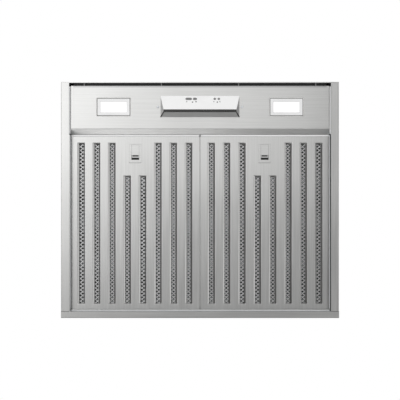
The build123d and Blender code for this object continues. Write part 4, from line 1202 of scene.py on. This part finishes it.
@dataclass
class Studio:
    """Camera under the hood as in the photograph, pale floor, white surroundings and soft lights."""

    camera_z: float = -1.608
    view_width: float = 1.0365
    steel_plane_z: float = -8.0 * MM
    floor_z: float = -2.4
    floor_half: float = 30.0
    fill: float = 0.55
    softboxes: tuple[Softbox, ...] = (
        Softbox("front_below", (-0.975, -1.62, -2.30), (-0.975, -1.62, 0.0), (3.45, 3.24), 1.10),
        Softbox("left_below", (-1.80, -0.35, -2.25), (-1.80, -0.35, 0.0), (2.4, 2.1), 1.02),
        Softbox("right_side", (3.3, 0.0, -1.15), (0.0, 0.0, 0.0), (3.6, 1.6), 1.15),
        Softbox("front_key", (0.3, -2.9, -2.0), (0.0, 0.0, 0.0), (2.4, 1.0), 1.1),
        Softbox("rear_low", (-1.50, 4.0, -0.50), (-1.50, 0.0, 0.0), (3.2, 0.7), 3.2),
        Softbox("top_soft", (0.6, -0.9, 2.6), (0.0, 0.0, 0.2), (2.6, 2.6), 0.9))

    def build(self) -> None:
        """Set up everything round the hood."""
        self.set_camera()
        self.set_world()
        self.lay_floor()
        for softbox in self.softboxes:
            softbox.hang()
        bpy.context.scene.view_settings.view_transform = "Standard"

    def set_camera(self) -> None:
        """Look straight up at the hood from below its middle."""
        camera = bpy.data.cameras.new("camera")
        distance = self.steel_plane_z - self.camera_z
        camera.lens = camera.sensor_width * distance / self.view_width
        viewer = bpy.data.objects.new("camera", camera)
        viewer.location = (0.0, 0.0, self.camera_z)
        viewer.rotation_euler = (math.pi, 0.0, 0.0)
        bpy.context.scene.collection.objects.link(viewer)
        bpy.context.scene.camera = viewer

    def set_world(self) -> None:
        """White surroundings to the eye and in reflections, a soft fill to dull surfaces."""
        world = bpy.data.worlds.new("white_studio")
        bpy.context.scene.world = world
        world.use_nodes = True
        tree = world.node_tree
        tree.nodes.clear()
        rays = add_node(tree, "ShaderNodeLightPath").outputs
        glossy = add_node(tree, "ShaderNodeMath", {
            "operation": "MAXIMUM", 0: rays["Is Camera Ray"], 1: rays["Is Glossy Ray"]})
        shown = add_node(tree, "ShaderNodeMath", {
            "operation": "MAXIMUM", 0: glossy.outputs[0], 1: rays["Is Transmission Ray"]})
        white = linear("ffffff")
        dull, bright = (add_node(tree, "ShaderNodeBackground", {"Color": white, "Strength": strength})
                        for strength in (self.fill, 1.0))
        both = add_node(tree, "ShaderNodeMixShader", {
            0: shown.outputs[0], 1: dull.outputs[0], 2: bright.outputs[0]})
        add_node(tree, "ShaderNodeOutputWorld", {"Surface": both.outputs[0]})

    def lay_floor(self) -> None:
        """Lay the pale floor far below the hood."""
        shape = bmesh.new()
        bmesh.ops.create_grid(shape, x_segments=1, y_segments=1, size=self.floor_half,
                              matrix=Matrix.Translation((0.0, 0.0, self.floor_z)))
        floor = new_piece("studio_floor", shape, StudioFloor("pale_studio_floor").material())


def main() -> None:
    """Build the studio and every sub-assembly in order."""
    logging.basicConfig(level=logging.INFO, format="%(name)s: %(message)s")
    Studio().build()
    Canopy().build()
    ControlPanel().build()
    Joints().build()
    for side in Side:
        Lamp(side).build()
    ControlHousing().build()
    for side in Side:
        GreaseFilter(side).build()
    Blower().build()
    Outlet().build()
    JunctionBox().build()


if __name__ == "__main__":
    main()
